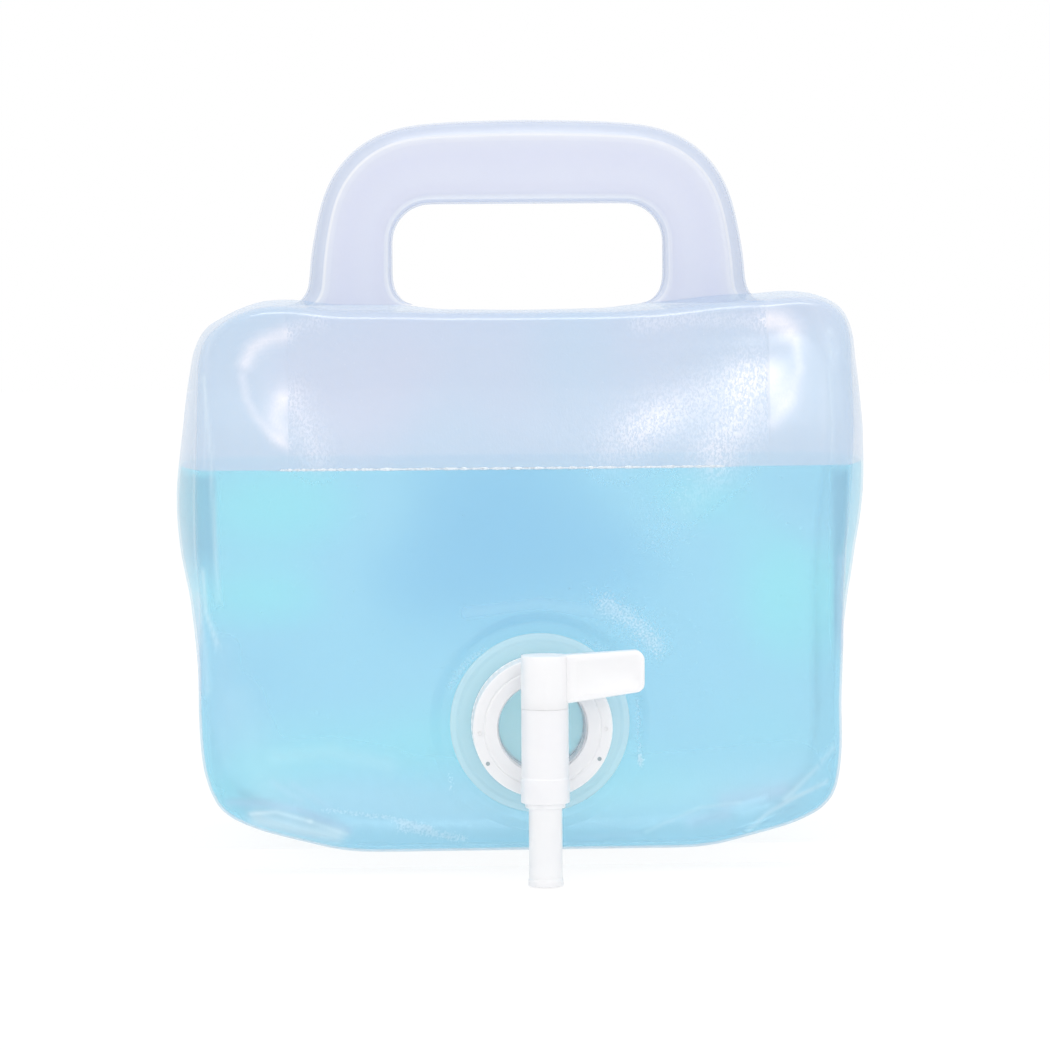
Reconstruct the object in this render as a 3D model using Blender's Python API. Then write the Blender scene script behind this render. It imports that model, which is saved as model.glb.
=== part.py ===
"""Collapsible water carrier: a soft moulded bag with a loop handle, a screw neck and a lever tap.

Metres, +Z up. The origin is the centre of the flat base, in the seam plane that runs through the handle.
The tap is on the front, towards -Y, and its lever points to +X while the tap is shut.
"""

import math

import bmesh
import bpy
import numpy as np

# Clearances and cuts
GAP = 0.0003  # between pieces that touch on the real object
CUT_OVERRUN = 0.0010

# Bag: the seam is the widest outline, halfway between the panels, and bulges as the gusset
SEAM_HALF_WIDTH = 0.1253
SEAM_HEIGHT = 0.1945
PANEL_INSET = 0.0083  # from the seam's half width to a panel's
PANEL_DROP = 0.0035  # from the seam's height to a panel's
PANEL_EDGE_DEPTH = 0.0520  # from the seam plane to a panel's edge, where it is deepest
EDGE_RADIUS = 0.0130  # how far the rounded edge reaches in over the panel
BASE_EDGE_RADIUS = 0.0035  # the same along the base, where the edge is tight
BASE_EDGE_REACH = 0.0300  # height over which the edge changes from tight to full
EDGE_RISE = 0.0075  # how far a panel stands out from its edge
CROWN = 0.0035  # how far a panel's middle stands out from there
BAG_WALL = 0.0008
BACK_CENTRE_HEIGHT = 0.0900
WATER_LEVEL = 0.1360
WATER_GAP = 0.0006

# Outlines of the right half, from base centre to top centre, as shares of half width and height
SEAM_SHARES = (
    (0.000, 0.000), (0.479, 0.000), (0.670, 0.026), (0.782, 0.067), (0.846, 0.129), (0.882, 0.216),
    (0.926, 0.360), (0.976, 0.504), (1.000, 0.643), (0.986, 0.787), (0.962, 0.905), (0.914, 0.969),
    (0.806, 0.996), (0.670, 1.000), (0.351, 0.9995), (0.255, 0.990), (0.000, 0.987),
)
PANEL_SHARES = (
    (0.000, 0.000), (0.470, 0.000), (0.684, 0.026), (0.855, 0.063), (0.936, 0.115), (0.962, 0.209),
    (0.971, 0.366), (0.985, 0.513), (0.997, 0.660), (1.000, 0.801), (0.997, 0.901), (0.966, 0.963),
    (0.872, 0.996), (0.726, 1.000), (0.359, 0.998), (0.274, 0.996), (0.000, 0.995),
)
# Depth of a panel's edge, as shares of height and of the deepest edge
DEPTH_SHARES = ((0.00, 0.93), (0.30, 1.00), (0.70, 0.95), (1.00, 0.81))
SIDE_STEP_SHARES = (0.35, 0.70)  # rings between the seam and the panel's edge, as shares of depth
EDGE_STEP_SHARES = (0.33, 0.67, 1.00)  # rings over the rounded edge, as shares of a quarter turn
FRONT_STEP_SHARES = (0.20, 0.45, 0.70, 0.90)  # rings from the rounded edge to the dish
BACK_STEP_SHARES = (0.22, 0.48, 0.74)  # rings from the rounded edge to the back's centre
OUTLINE_STEPS = (3, 1, 1, 2, 1, 1, 1, 1, 1, 1, 2, 2, 2, 1, 1, 2)  # between the points of either outline

# Neck: a flat seat in a dish on the front panel, a boss, and a tube with an outside thread
NECK_HEIGHT = 0.0467
SEAT_DEPTH = 0.0600  # outer face of the seat, from the seam plane
DISH_RADIUS = 0.0390
SEAT_RADIUS = 0.0350
BOSS_RADIUS = 0.0312
BOSS_RISE = 0.0015
BOSS_EDGE = 0.0006
NECK_BORE_RADIUS = 0.0170
NECK_WALL = 0.0024
NECK_LENGTH = 0.0115
NECK_FILLET = 0.0012
THREAD_PITCH = 0.0040
THREAD_HEIGHT = 0.0015
THREAD_LENGTH = 0.0080
THREAD_FADE = 0.0010
THREAD_CLEARANCE = 0.0004
RIDGE_ROOT_SHARE = 0.50  # width of a thread's ridge at its root, as a share of the pitch
RIDGE_CREST_SHARE = 0.20
THREAD_ROWS_PER_PITCH = 6
NECK_STEPS = 48

# Gasket, tap flange and collar, outwards from the neck's rim
GASKET_THICKNESS = 0.0015
GASKET_OVERHANG = 0.0002  # inside the tube's wall at both of its edges
FLANGE_RADIUS = 0.0190
FLANGE_THICKNESS = 0.0018
CUP_CLEARANCE = 0.0004
CUP_WALL = 0.0012
CUP_DEPTH = 0.0119
DISC_THICKNESS = 0.0012
COLLAR_HOLE_RADIUS = 0.0158
COLLAR_LIP = 0.0018
COLLAR_WALL = 0.0032
COLLAR_LENGTH = 0.0150
COLLAR_EDGE = 0.0008
GROOVE_RADIUS = 0.0204
GROOVE_WIDTH = 0.0010
GROOVE_DEPTH = 0.0004
RIB_COUNT = 24
RIB_DEPTH = 0.0004
RIB_INSET = 0.0016  # plain band between the ribs and each end of the collar

# Tap: an inlet tube from the cup, an upright barrel, and a key that turns in it
INLET_RADIUS = 0.0055
INLET_BORE_RADIUS = 0.0035
BARREL_STANDOFF = 0.0048  # between the collar's face and the barrel
BARREL_RADIUS = 0.0082
BARREL_FOOT_RADIUS = 0.0085
BARREL_FOOT_HEIGHT = 0.0086
BARREL_BORE_RADIUS = 0.0066
BARREL_ABOVE = 0.0150  # over the neck's axis
BARREL_BELOW = 0.0243
PLUG_CLEARANCE = 0.0005
PLUG_BORE_RADIUS = 0.0039
PLUG_ROOF = 0.0030  # solid plug over its bore, below the hub
PORT_RADIUS = 0.0032
SNAP_RADIUS = 0.0070
SNAP_HEIGHT = 0.0015
SPOUT_RADIUS = 0.0058
SPOUT_LIP_RADIUS = 0.0061
SPOUT_LIP_HEIGHT = 0.0022
SPOUT_LENGTH = 0.0273  # below the snap ring
HUB_RADIUS = 0.0082
HUB_HEIGHT = 0.0115
HUB_EDGE = 0.0007
SEAL_SECTION_RADIUS = 0.000625
SEAL_PORT_DISTANCE = 0.0095  # upper seal over the port's axis
SEAL_FOOT_DISTANCE = 0.0076  # lower seal over the barrel's foot
TAP_STEPS = 32
INLET_STEPS = 24
# Turned shapes that cut each other start at unlike shares of a step, so that none of their edges meet
CUT_START_SHARE = 0.50
INLET_START_SHARE = 0.25
SEAL_STEPS = 24
SEAL_SECTION_STEPS = 6

# Lever: an arm on the hub
ARM_REACH = 0.0345  # from the barrel's axis
ARM_THICKNESS = 0.0070
ARM_DROP = 0.0048  # how far its lower edge hangs beside the barrel
ARM_RISE = 0.0014  # how far its end stands over the hub
ARM_END_HEIGHT = 0.0145
ARM_CORNER = 0.0032
ARM_CORNER_STEPS = 4
ARM_EDGE = 0.0006
ARM_RIM = 0.0020
ARM_RECESS = 0.0005
ARM_CLEARANCE = 0.0005  # beside the barrel

# Handle: a hollow loop over the seam, open into the bag at both legs
HOLE_HALF_WIDTH = 0.0500
HOLE_CORNER = 0.0146
LOOP_HALF_WIDTH = 0.0790
LOOP_NARROWING = 0.0028  # how far each side leans in up to its shoulder
LOOP_RISE = 0.0661  # over the seam's top
BAR_WIDTH = 0.0292  # from the hole's top to the loop's
LOOP_ARCH = 0.0012
LOOP_CORNER = 0.0368
LOOP_THICKNESS = 0.0140
LOOP_WALL = 0.0012
ROOT_HEIGHT = 0.0092
ROOT_FLARE = 0.0080
ROOT_STEP_SHARES = (0.00, 0.15, 0.40, 1.00)
LEG_STEPS = 3
CORNER_STEPS = 6
BAR_STEPS = 3
# Half of the loop's section, as shares of its width from the hole outwards and of half its thickness
LOOP_SECTION_SHARES = ((0.00, 0.57), (0.05, 0.88), (0.13, 1.00), (0.84, 1.00), (0.96, 0.55), (1.00, 0.14))

# Places worked out from the sizes above. OUT values are distances from the seam plane along the neck's axis
PANEL_HALF_WIDTH = SEAM_HALF_WIDTH - PANEL_INSET
PANEL_HEIGHT = SEAM_HEIGHT - PANEL_DROP
BOSS_OUT = SEAT_DEPTH + BOSS_RISE
RIM_OUT = BOSS_OUT + NECK_LENGTH
GASKET_OUT = RIM_OUT + GAP
FLANGE_OUT = GASKET_OUT + GASKET_THICKNESS + GAP
FLANGE_FACE_OUT = FLANGE_OUT + FLANGE_THICKNESS
LIP_OUT = FLANGE_FACE_OUT + GAP
COLLAR_FACE_OUT = LIP_OUT + COLLAR_LIP
BARREL_OUT = COLLAR_FACE_OUT + BARREL_STANDOFF + BARREL_RADIUS
NECK_RADIUS = NECK_BORE_RADIUS + NECK_WALL
COLLAR_BORE_RADIUS = NECK_RADIUS + THREAD_HEIGHT + THREAD_CLEARANCE
COLLAR_RADIUS = COLLAR_BORE_RADIUS + COLLAR_WALL
CUP_RADIUS = NECK_BORE_RADIUS - CUP_CLEARANCE
PLUG_RADIUS = BARREL_BORE_RADIUS - PLUG_CLEARANCE
LOOP_ROOT = SEAM_HEIGHT + GAP
LOOP_TOP = SEAM_HEIGHT + LOOP_RISE
HOLE_TOP = LOOP_TOP - BAR_WIDTH
LOOP_SHOULDER_HALF_WIDTH = LOOP_HALF_WIDTH - LOOP_NARROWING


def clear_scene():
    """Removes what the scene holds, so that the model starts from nothing."""
    for item in list(bpy.data.objects):
        bpy.data.objects.remove(item)


def plastic(name, colour, roughness, see_through=0.0):
    """A moulded plastic or liquid, as a Principled material."""
    material = bpy.data.materials.new(name)
    material.use_nodes = True
    surface = material.node_tree.nodes["Principled BSDF"]
    surface.inputs["Base Color"].default_value = (*colour, 1.0)
    surface.inputs["Roughness"].default_value = roughness
    surface.inputs["Metallic"].default_value = 0.0
    surface.inputs["Transmission Weight"].default_value = see_through
    return material


def add_object(name, shape, material, parent=None, rotation=(0.0, 0.0, 0.0), location=(0.0, 0.0, 0.0)):
    """Turns a bmesh into a smooth-shaded object with one material, under its parent."""
    mesh = bpy.data.meshes.new(name)
    shape.to_mesh(mesh)
    shape.free()
    mesh.shade_smooth()
    mesh.set_sharp_from_angle(angle=math.radians(35.0))
    mesh.materials.append(material)
    item = bpy.data.objects.new(name, mesh)
    bpy.context.scene.collection.objects.link(item)
    item.parent = parent
    item.rotation_euler = rotation
    item.location = location
    return item


def add_axis(name, location, parent=None, rotation=(0.0, 0.0, 0.0)):
    """An empty that carries the pieces of one moving body."""
    empty = bpy.data.objects.new(name, None)
    bpy.context.scene.collection.objects.link(empty)
    empty.parent = parent
    empty.location = location
    empty.rotation_euler = rotation
    return empty


def add_helper(name, shape, parent):
    """A shape that is only joined to, or cut from, a piece beside it."""
    mesh = bpy.data.meshes.new(name)
    shape.to_mesh(mesh)
    shape.free()
    helper = bpy.data.objects.new(name, mesh)
    bpy.context.scene.collection.objects.link(helper)
    helper.parent = parent
    helper.hide_render = True
    helper.display_type = "WIRE"
    return helper


def combine(item, operation, helper):
    """Joins a helper to an object or cuts it out."""
    step = item.modifiers.new(f"{operation.lower()}_{helper.name}", "BOOLEAN")
    step.operation = operation
    step.solver = "EXACT"
    step.object = helper


def bridge(shape, rings, closed=False):
    """Joins rings of equal length by quads. A ring of one vertex is a pole, and gets triangles."""
    pairs = list(zip(rings, rings[1:]))
    if closed:
        pairs.append((rings[-1], rings[0]))
    for first, second in pairs:
        count = max(len(first), len(second))
        for index in range(count):
            following = (index + 1) % count
            corners = [first[index % len(first)], first[following % len(first)]]
            corners += [second[following % len(second)], second[index % len(second)]]
            shape.faces.new(dict.fromkeys(corners))


def add_ring(shape, points):
    """Adds one vertex for each point."""
    return [shape.verts.new(point) for point in points]


def outward(shape):
    """Turns the faces of a closed shape outwards."""
    bmesh.ops.recalc_face_normals(shape, faces=shape.faces)
    return shape


def turned(profile, steps, closed=False, start_share=0.0):
    """A shape turned about Z. A row is (radius, height), or (radius, height, relief) where relief(angle,
    height) is added to its radius. A closed profile has a bore, and an open one starts and ends on Z."""
    shape = bmesh.new()
    rings = []
    for radius, height, *relief in profile:
        if radius == 0.0:
            rings.append(add_ring(shape, [(0.0, 0.0, height)]))
            continue
        points = []
        for step in range(steps):
            angle = math.tau * (step + start_share) / steps
            reach = radius + sum(lift(angle, height) for lift in relief)
            points.append((reach * math.cos(angle), reach * math.sin(angle), height))
        rings.append(add_ring(shape, points))
    bridge(shape, rings, closed)
    return outward(shape)


def cylinder(radius, low, high, steps, start_share, to_x=False):
    """A plain cylinder along Z, or along X, from low to high."""
    profile = [(0.0, low), (radius, low), (radius, high), (0.0, high)]
    shape = turned(profile, steps, start_share=start_share)
    if to_x:
        for vertex in shape.verts:
            x, y, z = vertex.co
            vertex.co = (z, y, -x)
    return shape


def mean_slope(first, second, first_length, second_length):
    """Slope at a point between two chords. Flat stretches stay flat, because it is zero where either is."""
    same = first * second > 0.0
    first, second = np.where(same, first, 1.0), np.where(same, second, 1.0)
    whole = first_length + second_length
    return np.where(same, whole / (first_length / first + second_length / second), 0.0)


def curve_point(points, place):
    """A point on the smooth curve through a list of points, where place counts points from the first."""
    points = np.asarray(points, dtype=float)
    index = min(int(place), len(points) - 2)
    chords = np.linalg.norm(np.diff(points, axis=0), axis=1)
    slopes = np.diff(points, axis=0) / chords[:, None]
    before, after = max(index - 1, 0), min(index + 1, len(chords) - 1)
    own = chords[index]
    start = mean_slope(slopes[before], slopes[index], chords[before], own)
    end = mean_slope(slopes[index], slopes[after], own, chords[after])
    t = place - index
    return (
        points[index] * (2 * t**3 - 3 * t**2 + 1)
        + start * own * (t**3 - 2 * t**2 + t)
        + points[index + 1] * (3 * t**2 - 2 * t**3)
        + end * own * (t**3 - t**2)
    )


def outline_places():
    """Places along either outline, closer together where it turns."""
    places = [0.0]
    for index, steps in enumerate(OUTLINE_STEPS):
        places += [index + step / steps for step in range(1, steps + 1)]
    return places


def bag_outline(shares, half_width, height):
    """A closed outline in X and Z: from base centre up the right half to top centre, and down the left."""
    scaled = [(x * half_width, z * height) for x, z in shares]
    right = np.array([curve_point(scaled, place) for place in outline_places()])
    right[0, 0] = right[-1, 0] = 0.0
    left = right[-2:0:-1] * (-1.0, 1.0)
    return np.vstack([right, left])


def inset(outline, distances):
    """Moves each point of a closed outline inwards, square to it."""
    along = np.roll(outline, -1, axis=0) - np.roll(outline, 1, axis=0)
    along /= np.linalg.norm(along, axis=1)[:, None]
    inwards = np.stack([-along[:, 1], along[:, 0]], axis=1)
    return outline + inwards * distances[:, None]


def edge_depth(heights):
    """How deep a panel's edge lies from the seam plane at each height."""
    shares = np.clip(heights / PANEL_HEIGHT, 0.0, 1.0)
    known = np.array(DEPTH_SHARES)
    places = np.interp(shares, known[:, 0], np.arange(len(known)))
    return PANEL_EDGE_DEPTH * np.array([curve_point(known, place)[1] for place in places])


def at_depth(outline, depths):
    """An outline in X and Z as points, where a positive depth is towards the front."""
    return [(x, -depth, z) for (x, z), depth in zip(outline, depths)]


def circle_outline(radius, count):
    """A circle about the neck's axis, from its lowest point towards +X."""
    turns = math.tau * np.arange(count) / count
    return np.stack([radius * np.sin(turns), NECK_HEIGHT - radius * np.cos(turns)], axis=1)


def bag_rings():
    """Rings of the bag's outer surface, from the neck's opening over the seam to the centre of the back."""
    seam = bag_outline(SEAM_SHARES, SEAM_HALF_WIDTH, SEAM_HEIGHT)
    panel = bag_outline(PANEL_SHARES, PANEL_HALF_WIDTH, PANEL_HEIGHT)
    depths = edge_depth(panel[:, 1])
    tightness = np.clip(panel[:, 1] / BASE_EDGE_REACH, 0.0, 1.0)
    radii = BASE_EDGE_RADIUS + (EDGE_RADIUS - BASE_EDGE_RADIUS) * tightness**2 * (3.0 - 2.0 * tightness)

    sides = [(seam + (panel - seam) * step**2, depths * step) for step in (*SIDE_STEP_SHARES, 1.0)]
    for step in EDGE_STEP_SHARES:
        turn = 0.5 * math.pi * step
        sides.append((inset(panel, radii * (1.0 - math.cos(turn))), depths + EDGE_RISE * math.sin(turn)))
    rounded, _ = sides[-1]

    def towards(target, step):
        outline = rounded + (target - rounded) * step
        crown = CROWN * (1.0 - (1.0 - step) ** 2)
        return outline, edge_depth(outline[:, 1]) + EDGE_RISE + crown

    count = len(seam)
    dish = circle_outline(DISH_RADIUS, count)
    front = sides + [towards(dish, step) for step in (*FRONT_STEP_SHARES, 1.0)]
    for radius in (SEAT_RADIUS, BOSS_RADIUS + GAP):
        front.append((circle_outline(radius, count), np.full(count, SEAT_DEPTH)))
    centre = np.array([0.0, BACK_CENTRE_HEIGHT])
    back = sides + [towards(centre, step) for step in BACK_STEP_SHARES]
    pole_outline, pole_depths = towards(centre, 1.0)

    rings = [at_depth(outline, depth) for outline, depth in reversed(front)]
    rings.append(at_depth(seam, np.zeros(count)))
    rings += [at_depth(outline, -depth) for outline, depth in back]
    rings.append(at_depth(pole_outline[:1], -pole_depths[:1]))
    return rings


def bag_surface():
    """The bag's outer surface as a closed shape, and the face that closes the neck's opening."""
    shape = bmesh.new()
    rings = [add_ring(shape, ring) for ring in bag_rings()]
    bridge(shape, rings)
    lid = shape.faces.new(rings[0])
    outward(shape)
    return shape, lid


def make_container(material):
    """The soft bag: a thin wall with one opening, at the neck."""
    shape, lid = bag_surface()
    bmesh.ops.delete(shape, geom=[lid], context="FACES_ONLY")
    bag = add_object("container", shape, material)
    wall = bag.modifiers.new("wall", "SOLIDIFY")
    wall.thickness = BAG_WALL
    wall.offset = -1.0
    wall.use_rim = True
    return bag


def make_water(material):
    """The water: the bag's inside up to the water line."""
    shape, _ = bag_surface()
    shape.normal_update()
    moves = [(vertex, vertex.normal * (BAG_WALL + WATER_GAP)) for vertex in shape.verts]
    for vertex, move in moves:
        vertex.co -= move
    everything = [*shape.verts, *shape.edges, *shape.faces]
    level = (0.0, 0.0, WATER_LEVEL)
    bmesh.ops.bisect_plane(shape, geom=everything, plane_co=level, plane_no=(0.0, 0.0, 1.0), clear_outer=True)
    rim = [edge for edge in shape.edges if edge.is_boundary]
    bmesh.ops.contextual_create(shape, geom=rim)
    return add_object("water_fill", outward(shape), material)


def corner_arc(centre_x, centre_z, radius, steps):
    """A quarter circle from straight right to straight up, without its first point."""
    turns = [0.5 * math.pi * step / steps for step in range(1, steps + 1)]
    return [(centre_x + radius * math.cos(turn), centre_z + radius * math.sin(turn)) for turn in turns]


def loop_paths():
    """The right half of the handle's inner and outer outline, from the root to the top centre."""
    inner_shoulder = HOLE_TOP - HOLE_CORNER
    outer_shoulder = LOOP_TOP - LOOP_ARCH - LOOP_CORNER
    root_top = LOOP_ROOT + ROOT_HEIGHT
    inner, outer = [], []
    for step in ROOT_STEP_SHARES:
        height = LOOP_ROOT + ROOT_HEIGHT * step
        flare = ROOT_FLARE * (1.0 - math.sqrt(1.0 - (1.0 - step) ** 2))
        inner.append((HOLE_HALF_WIDTH - flare, height))
        outer.append((LOOP_HALF_WIDTH + flare, height))
    for step in range(1, LEG_STEPS + 1):
        share = step / LEG_STEPS
        lean = LOOP_NARROWING * share**2
        inner.append((HOLE_HALF_WIDTH, root_top + (inner_shoulder - root_top) * share))
        outer.append((LOOP_HALF_WIDTH - lean, root_top + (outer_shoulder - root_top) * share))
    inner_start = HOLE_HALF_WIDTH - HOLE_CORNER
    outer_start = LOOP_SHOULDER_HALF_WIDTH - LOOP_CORNER
    inner += corner_arc(inner_start, inner_shoulder, HOLE_CORNER, CORNER_STEPS)
    outer += corner_arc(outer_start, outer_shoulder, LOOP_CORNER, CORNER_STEPS)
    for step in range(1, BAR_STEPS + 1):
        share = step / BAR_STEPS
        inner.append((inner_start * (1.0 - share), HOLE_TOP))
        outer.append((outer_start * (1.0 - share), LOOP_TOP - LOOP_ARCH * (1.0 - share) ** 2))
    return np.array(inner), np.array(outer)


def loop_ring(shape, near, far, wall):
    """One section of the loop between its inner and its outer outline, moved inside by a wall's thickness."""
    width = np.linalg.norm(far - near)
    half = 0.5 * LOOP_THICKNESS
    section = [(across, half * depth) for across, depth in LOOP_SECTION_SHARES]
    section += [(across, -depth) for across, depth in reversed(section)]
    points = []
    for across, depth in section:
        x, z = near + (far - near) * (wall + (width - 2.0 * wall) * across) / width
        points.append((x, depth * (half - wall) / half, z))
    return add_ring(shape, points)


def make_handle(material):
    """The carrying handle: a hollow loop whose legs stand open on the bag's shoulder."""
    inner, outer = loop_paths()
    inner = np.vstack([inner, inner[-2::-1] * (-1.0, 1.0)])
    outer = np.vstack([outer, outer[-2::-1] * (-1.0, 1.0)])
    shape = bmesh.new()
    outside = [loop_ring(shape, near, far, 0.0) for near, far in zip(inner, outer)]
    inside = [loop_ring(shape, near, far, LOOP_WALL) for near, far in zip(inner, outer)]
    bridge(shape, outside + inside[::-1], closed=True)
    return add_object("handle", outward(shape), material)


def ridge(low, high, offset_share, side):
    """Relief of a right-hand thread between two heights. offset_share shifts it along the pitch, and side
    is 1 for a ridge that stands out and -1 for one that stands in."""

    def relief(angle, height):
        place = (height / THREAD_PITCH - angle / math.tau + offset_share) % 1.0
        away = min(place, 1.0 - place)
        slope = 0.5 * (RIDGE_ROOT_SHARE - RIDGE_CREST_SHARE)
        form = min(max((0.5 * RIDGE_ROOT_SHARE - away) / slope, 0.0), 1.0)
        fade = min(max(min(height - low, high - height) / THREAD_FADE, 0.0), 1.0)
        return side * THREAD_HEIGHT * form * fade

    return relief


def thread_rows(radius, low, high, offset_share, side):
    """Rows of a threaded wall, from low to high."""
    count = math.ceil((high - low) / THREAD_PITCH * THREAD_ROWS_PER_PITCH)
    relief = ridge(low, high, offset_share, side)
    return [(radius, low + (high - low) * row / count, relief) for row in range(count + 1)]


def make_neck(material, axis):
    """The boss and the threaded tube, in one with each other."""
    back = SEAT_DEPTH - BAG_WALL
    thread_high = RIM_OUT - BOSS_EDGE
    profile = [
        (NECK_BORE_RADIUS, back),
        (BOSS_RADIUS, back),
        (BOSS_RADIUS, BOSS_OUT - BOSS_EDGE),
        (BOSS_RADIUS - BOSS_EDGE, BOSS_OUT),
        (NECK_RADIUS + NECK_FILLET, BOSS_OUT),
        (NECK_RADIUS, BOSS_OUT + NECK_FILLET),
        *thread_rows(NECK_RADIUS, thread_high - THREAD_LENGTH, thread_high, 0.0, 1),
        (NECK_RADIUS - BOSS_EDGE, RIM_OUT),
        (NECK_BORE_RADIUS, RIM_OUT),
    ]
    return add_object("threaded_neck", turned(profile, NECK_STEPS, closed=True), material, axis)


def make_gasket(material, axis):
    """The flat ring between the neck's rim and the tap's flange."""
    inner = NECK_BORE_RADIUS + GASKET_OVERHANG
    outer = NECK_RADIUS - GASKET_OVERHANG
    top = GASKET_OUT + GASKET_THICKNESS
    profile = [(inner, GASKET_OUT), (outer, GASKET_OUT), (outer, top), (inner, top)]
    return add_object("flange_gasket", turned(profile, NECK_STEPS, closed=True), material, axis)


def ribs(angle, _height):
    """Relief of the grip ribs round the collar."""
    return -0.5 * RIB_DEPTH * (1.0 - math.cos(RIB_COUNT * angle))


def make_collar(material, axis):
    """The screw collar: a lip over the tap's flange, a ribbed skirt and an inside thread."""
    foot = COLLAR_FACE_OUT - COLLAR_LENGTH
    groove_edge = 0.5 * GROOVE_WIDTH
    thread_high = RIM_OUT - BOSS_EDGE
    thread_low = thread_high - THREAD_LENGTH + COLLAR_EDGE
    profile = [
        (COLLAR_HOLE_RADIUS, LIP_OUT),
        (COLLAR_HOLE_RADIUS, COLLAR_FACE_OUT - 0.5 * COLLAR_EDGE),
        (COLLAR_HOLE_RADIUS + 0.5 * COLLAR_EDGE, COLLAR_FACE_OUT),
        (GROOVE_RADIUS - groove_edge, COLLAR_FACE_OUT),
        (GROOVE_RADIUS, COLLAR_FACE_OUT - GROOVE_DEPTH),
        (GROOVE_RADIUS + groove_edge, COLLAR_FACE_OUT),
        (COLLAR_RADIUS - COLLAR_EDGE, COLLAR_FACE_OUT),
        (COLLAR_RADIUS, COLLAR_FACE_OUT - COLLAR_EDGE),
        (COLLAR_RADIUS, COLLAR_FACE_OUT - RIB_INSET),
        (COLLAR_RADIUS, COLLAR_FACE_OUT - RIB_INSET - RIB_DEPTH, ribs),
        (COLLAR_RADIUS, foot + RIB_INSET + RIB_DEPTH, ribs),
        (COLLAR_RADIUS, foot + RIB_INSET),
        (COLLAR_RADIUS, foot),
        (COLLAR_BORE_RADIUS, foot),
        *thread_rows(COLLAR_BORE_RADIUS, thread_low, thread_high, 0.5, -1),
        (COLLAR_BORE_RADIUS, LIP_OUT),
    ]
    return add_object("collar", turned(profile, NECK_STEPS, closed=True), material, axis)


def make_tap_body(material, axis):
    """The tap's body: flange, cup, inlet tube and barrel. Its parts lie along the neck's axis, which is Z
    here, and the barrel stands along Y."""
    disc_back = FLANGE_FACE_OUT - CUP_DEPTH
    disc_front = disc_back + DISC_THICKNESS
    cup_inner = CUP_RADIUS - CUP_WALL
    profile = [
        (0.0, disc_back),
        (CUP_RADIUS, disc_back),
        (CUP_RADIUS, FLANGE_OUT),
        (FLANGE_RADIUS, FLANGE_OUT),
        (FLANGE_RADIUS, FLANGE_FACE_OUT),
        (cup_inner, FLANGE_FACE_OUT),
        (cup_inner, disc_front),
        (0.0, disc_front),
    ]
    body = add_object("tap_body", turned(profile, NECK_STEPS), material, axis)
    inlet_start = disc_back + 0.5 * DISC_THICKNESS
    inlet = cylinder(INLET_RADIUS, inlet_start, BARREL_OUT, INLET_STEPS, INLET_START_SHARE)
    combine(body, "UNION", add_helper("inlet_tube_solid", inlet, axis))

    foot = -BARREL_BELOW
    foot_top = foot + BARREL_FOOT_HEIGHT
    step_edge = BARREL_FOOT_RADIUS - BARREL_RADIUS
    outer = turned(
        [
            (0.0, foot),
            (BARREL_FOOT_RADIUS, foot),
            (BARREL_FOOT_RADIUS, foot_top),
            (BARREL_RADIUS, foot_top + step_edge),
            (BARREL_RADIUS, BARREL_ABOVE),
            (0.0, BARREL_ABOVE),
        ],
        TAP_STEPS,
    )
    upright = add_helper("barrel_solid", outer, axis)
    low, high = foot - CUT_OVERRUN, BARREL_ABOVE + CUT_OVERRUN
    bore = add_helper(
        "barrel_bore", cylinder(BARREL_BORE_RADIUS, low, high, TAP_STEPS, CUT_START_SHARE), axis
    )
    for helper in (upright, bore):
        helper.location = (0.0, 0.0, BARREL_OUT)
        helper.rotation_euler = (-0.5 * math.pi, 0.0, 0.0)
    combine(body, "UNION", upright)
    combine(body, "DIFFERENCE", bore)
    low = disc_back - CUT_OVERRUN
    passage = cylinder(INLET_BORE_RADIUS, low, BARREL_OUT, INLET_STEPS, INLET_START_SHARE)
    combine(body, "DIFFERENCE", add_helper("inlet_bore", passage, axis))
    return body


def seal_heights():
    """Heights of the two seals' middles, on the key's own axis, which starts at the neck's height."""
    return {"o_ring_upper": SEAL_PORT_DISTANCE, "o_ring_lower": SEAL_FOOT_DISTANCE - BARREL_BELOW}


def seal_radius():
    """Radius of a seal's ring, which stays clear of the barrel's bore."""
    return BARREL_BORE_RADIUS - GAP - SEAL_SECTION_RADIUS


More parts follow.
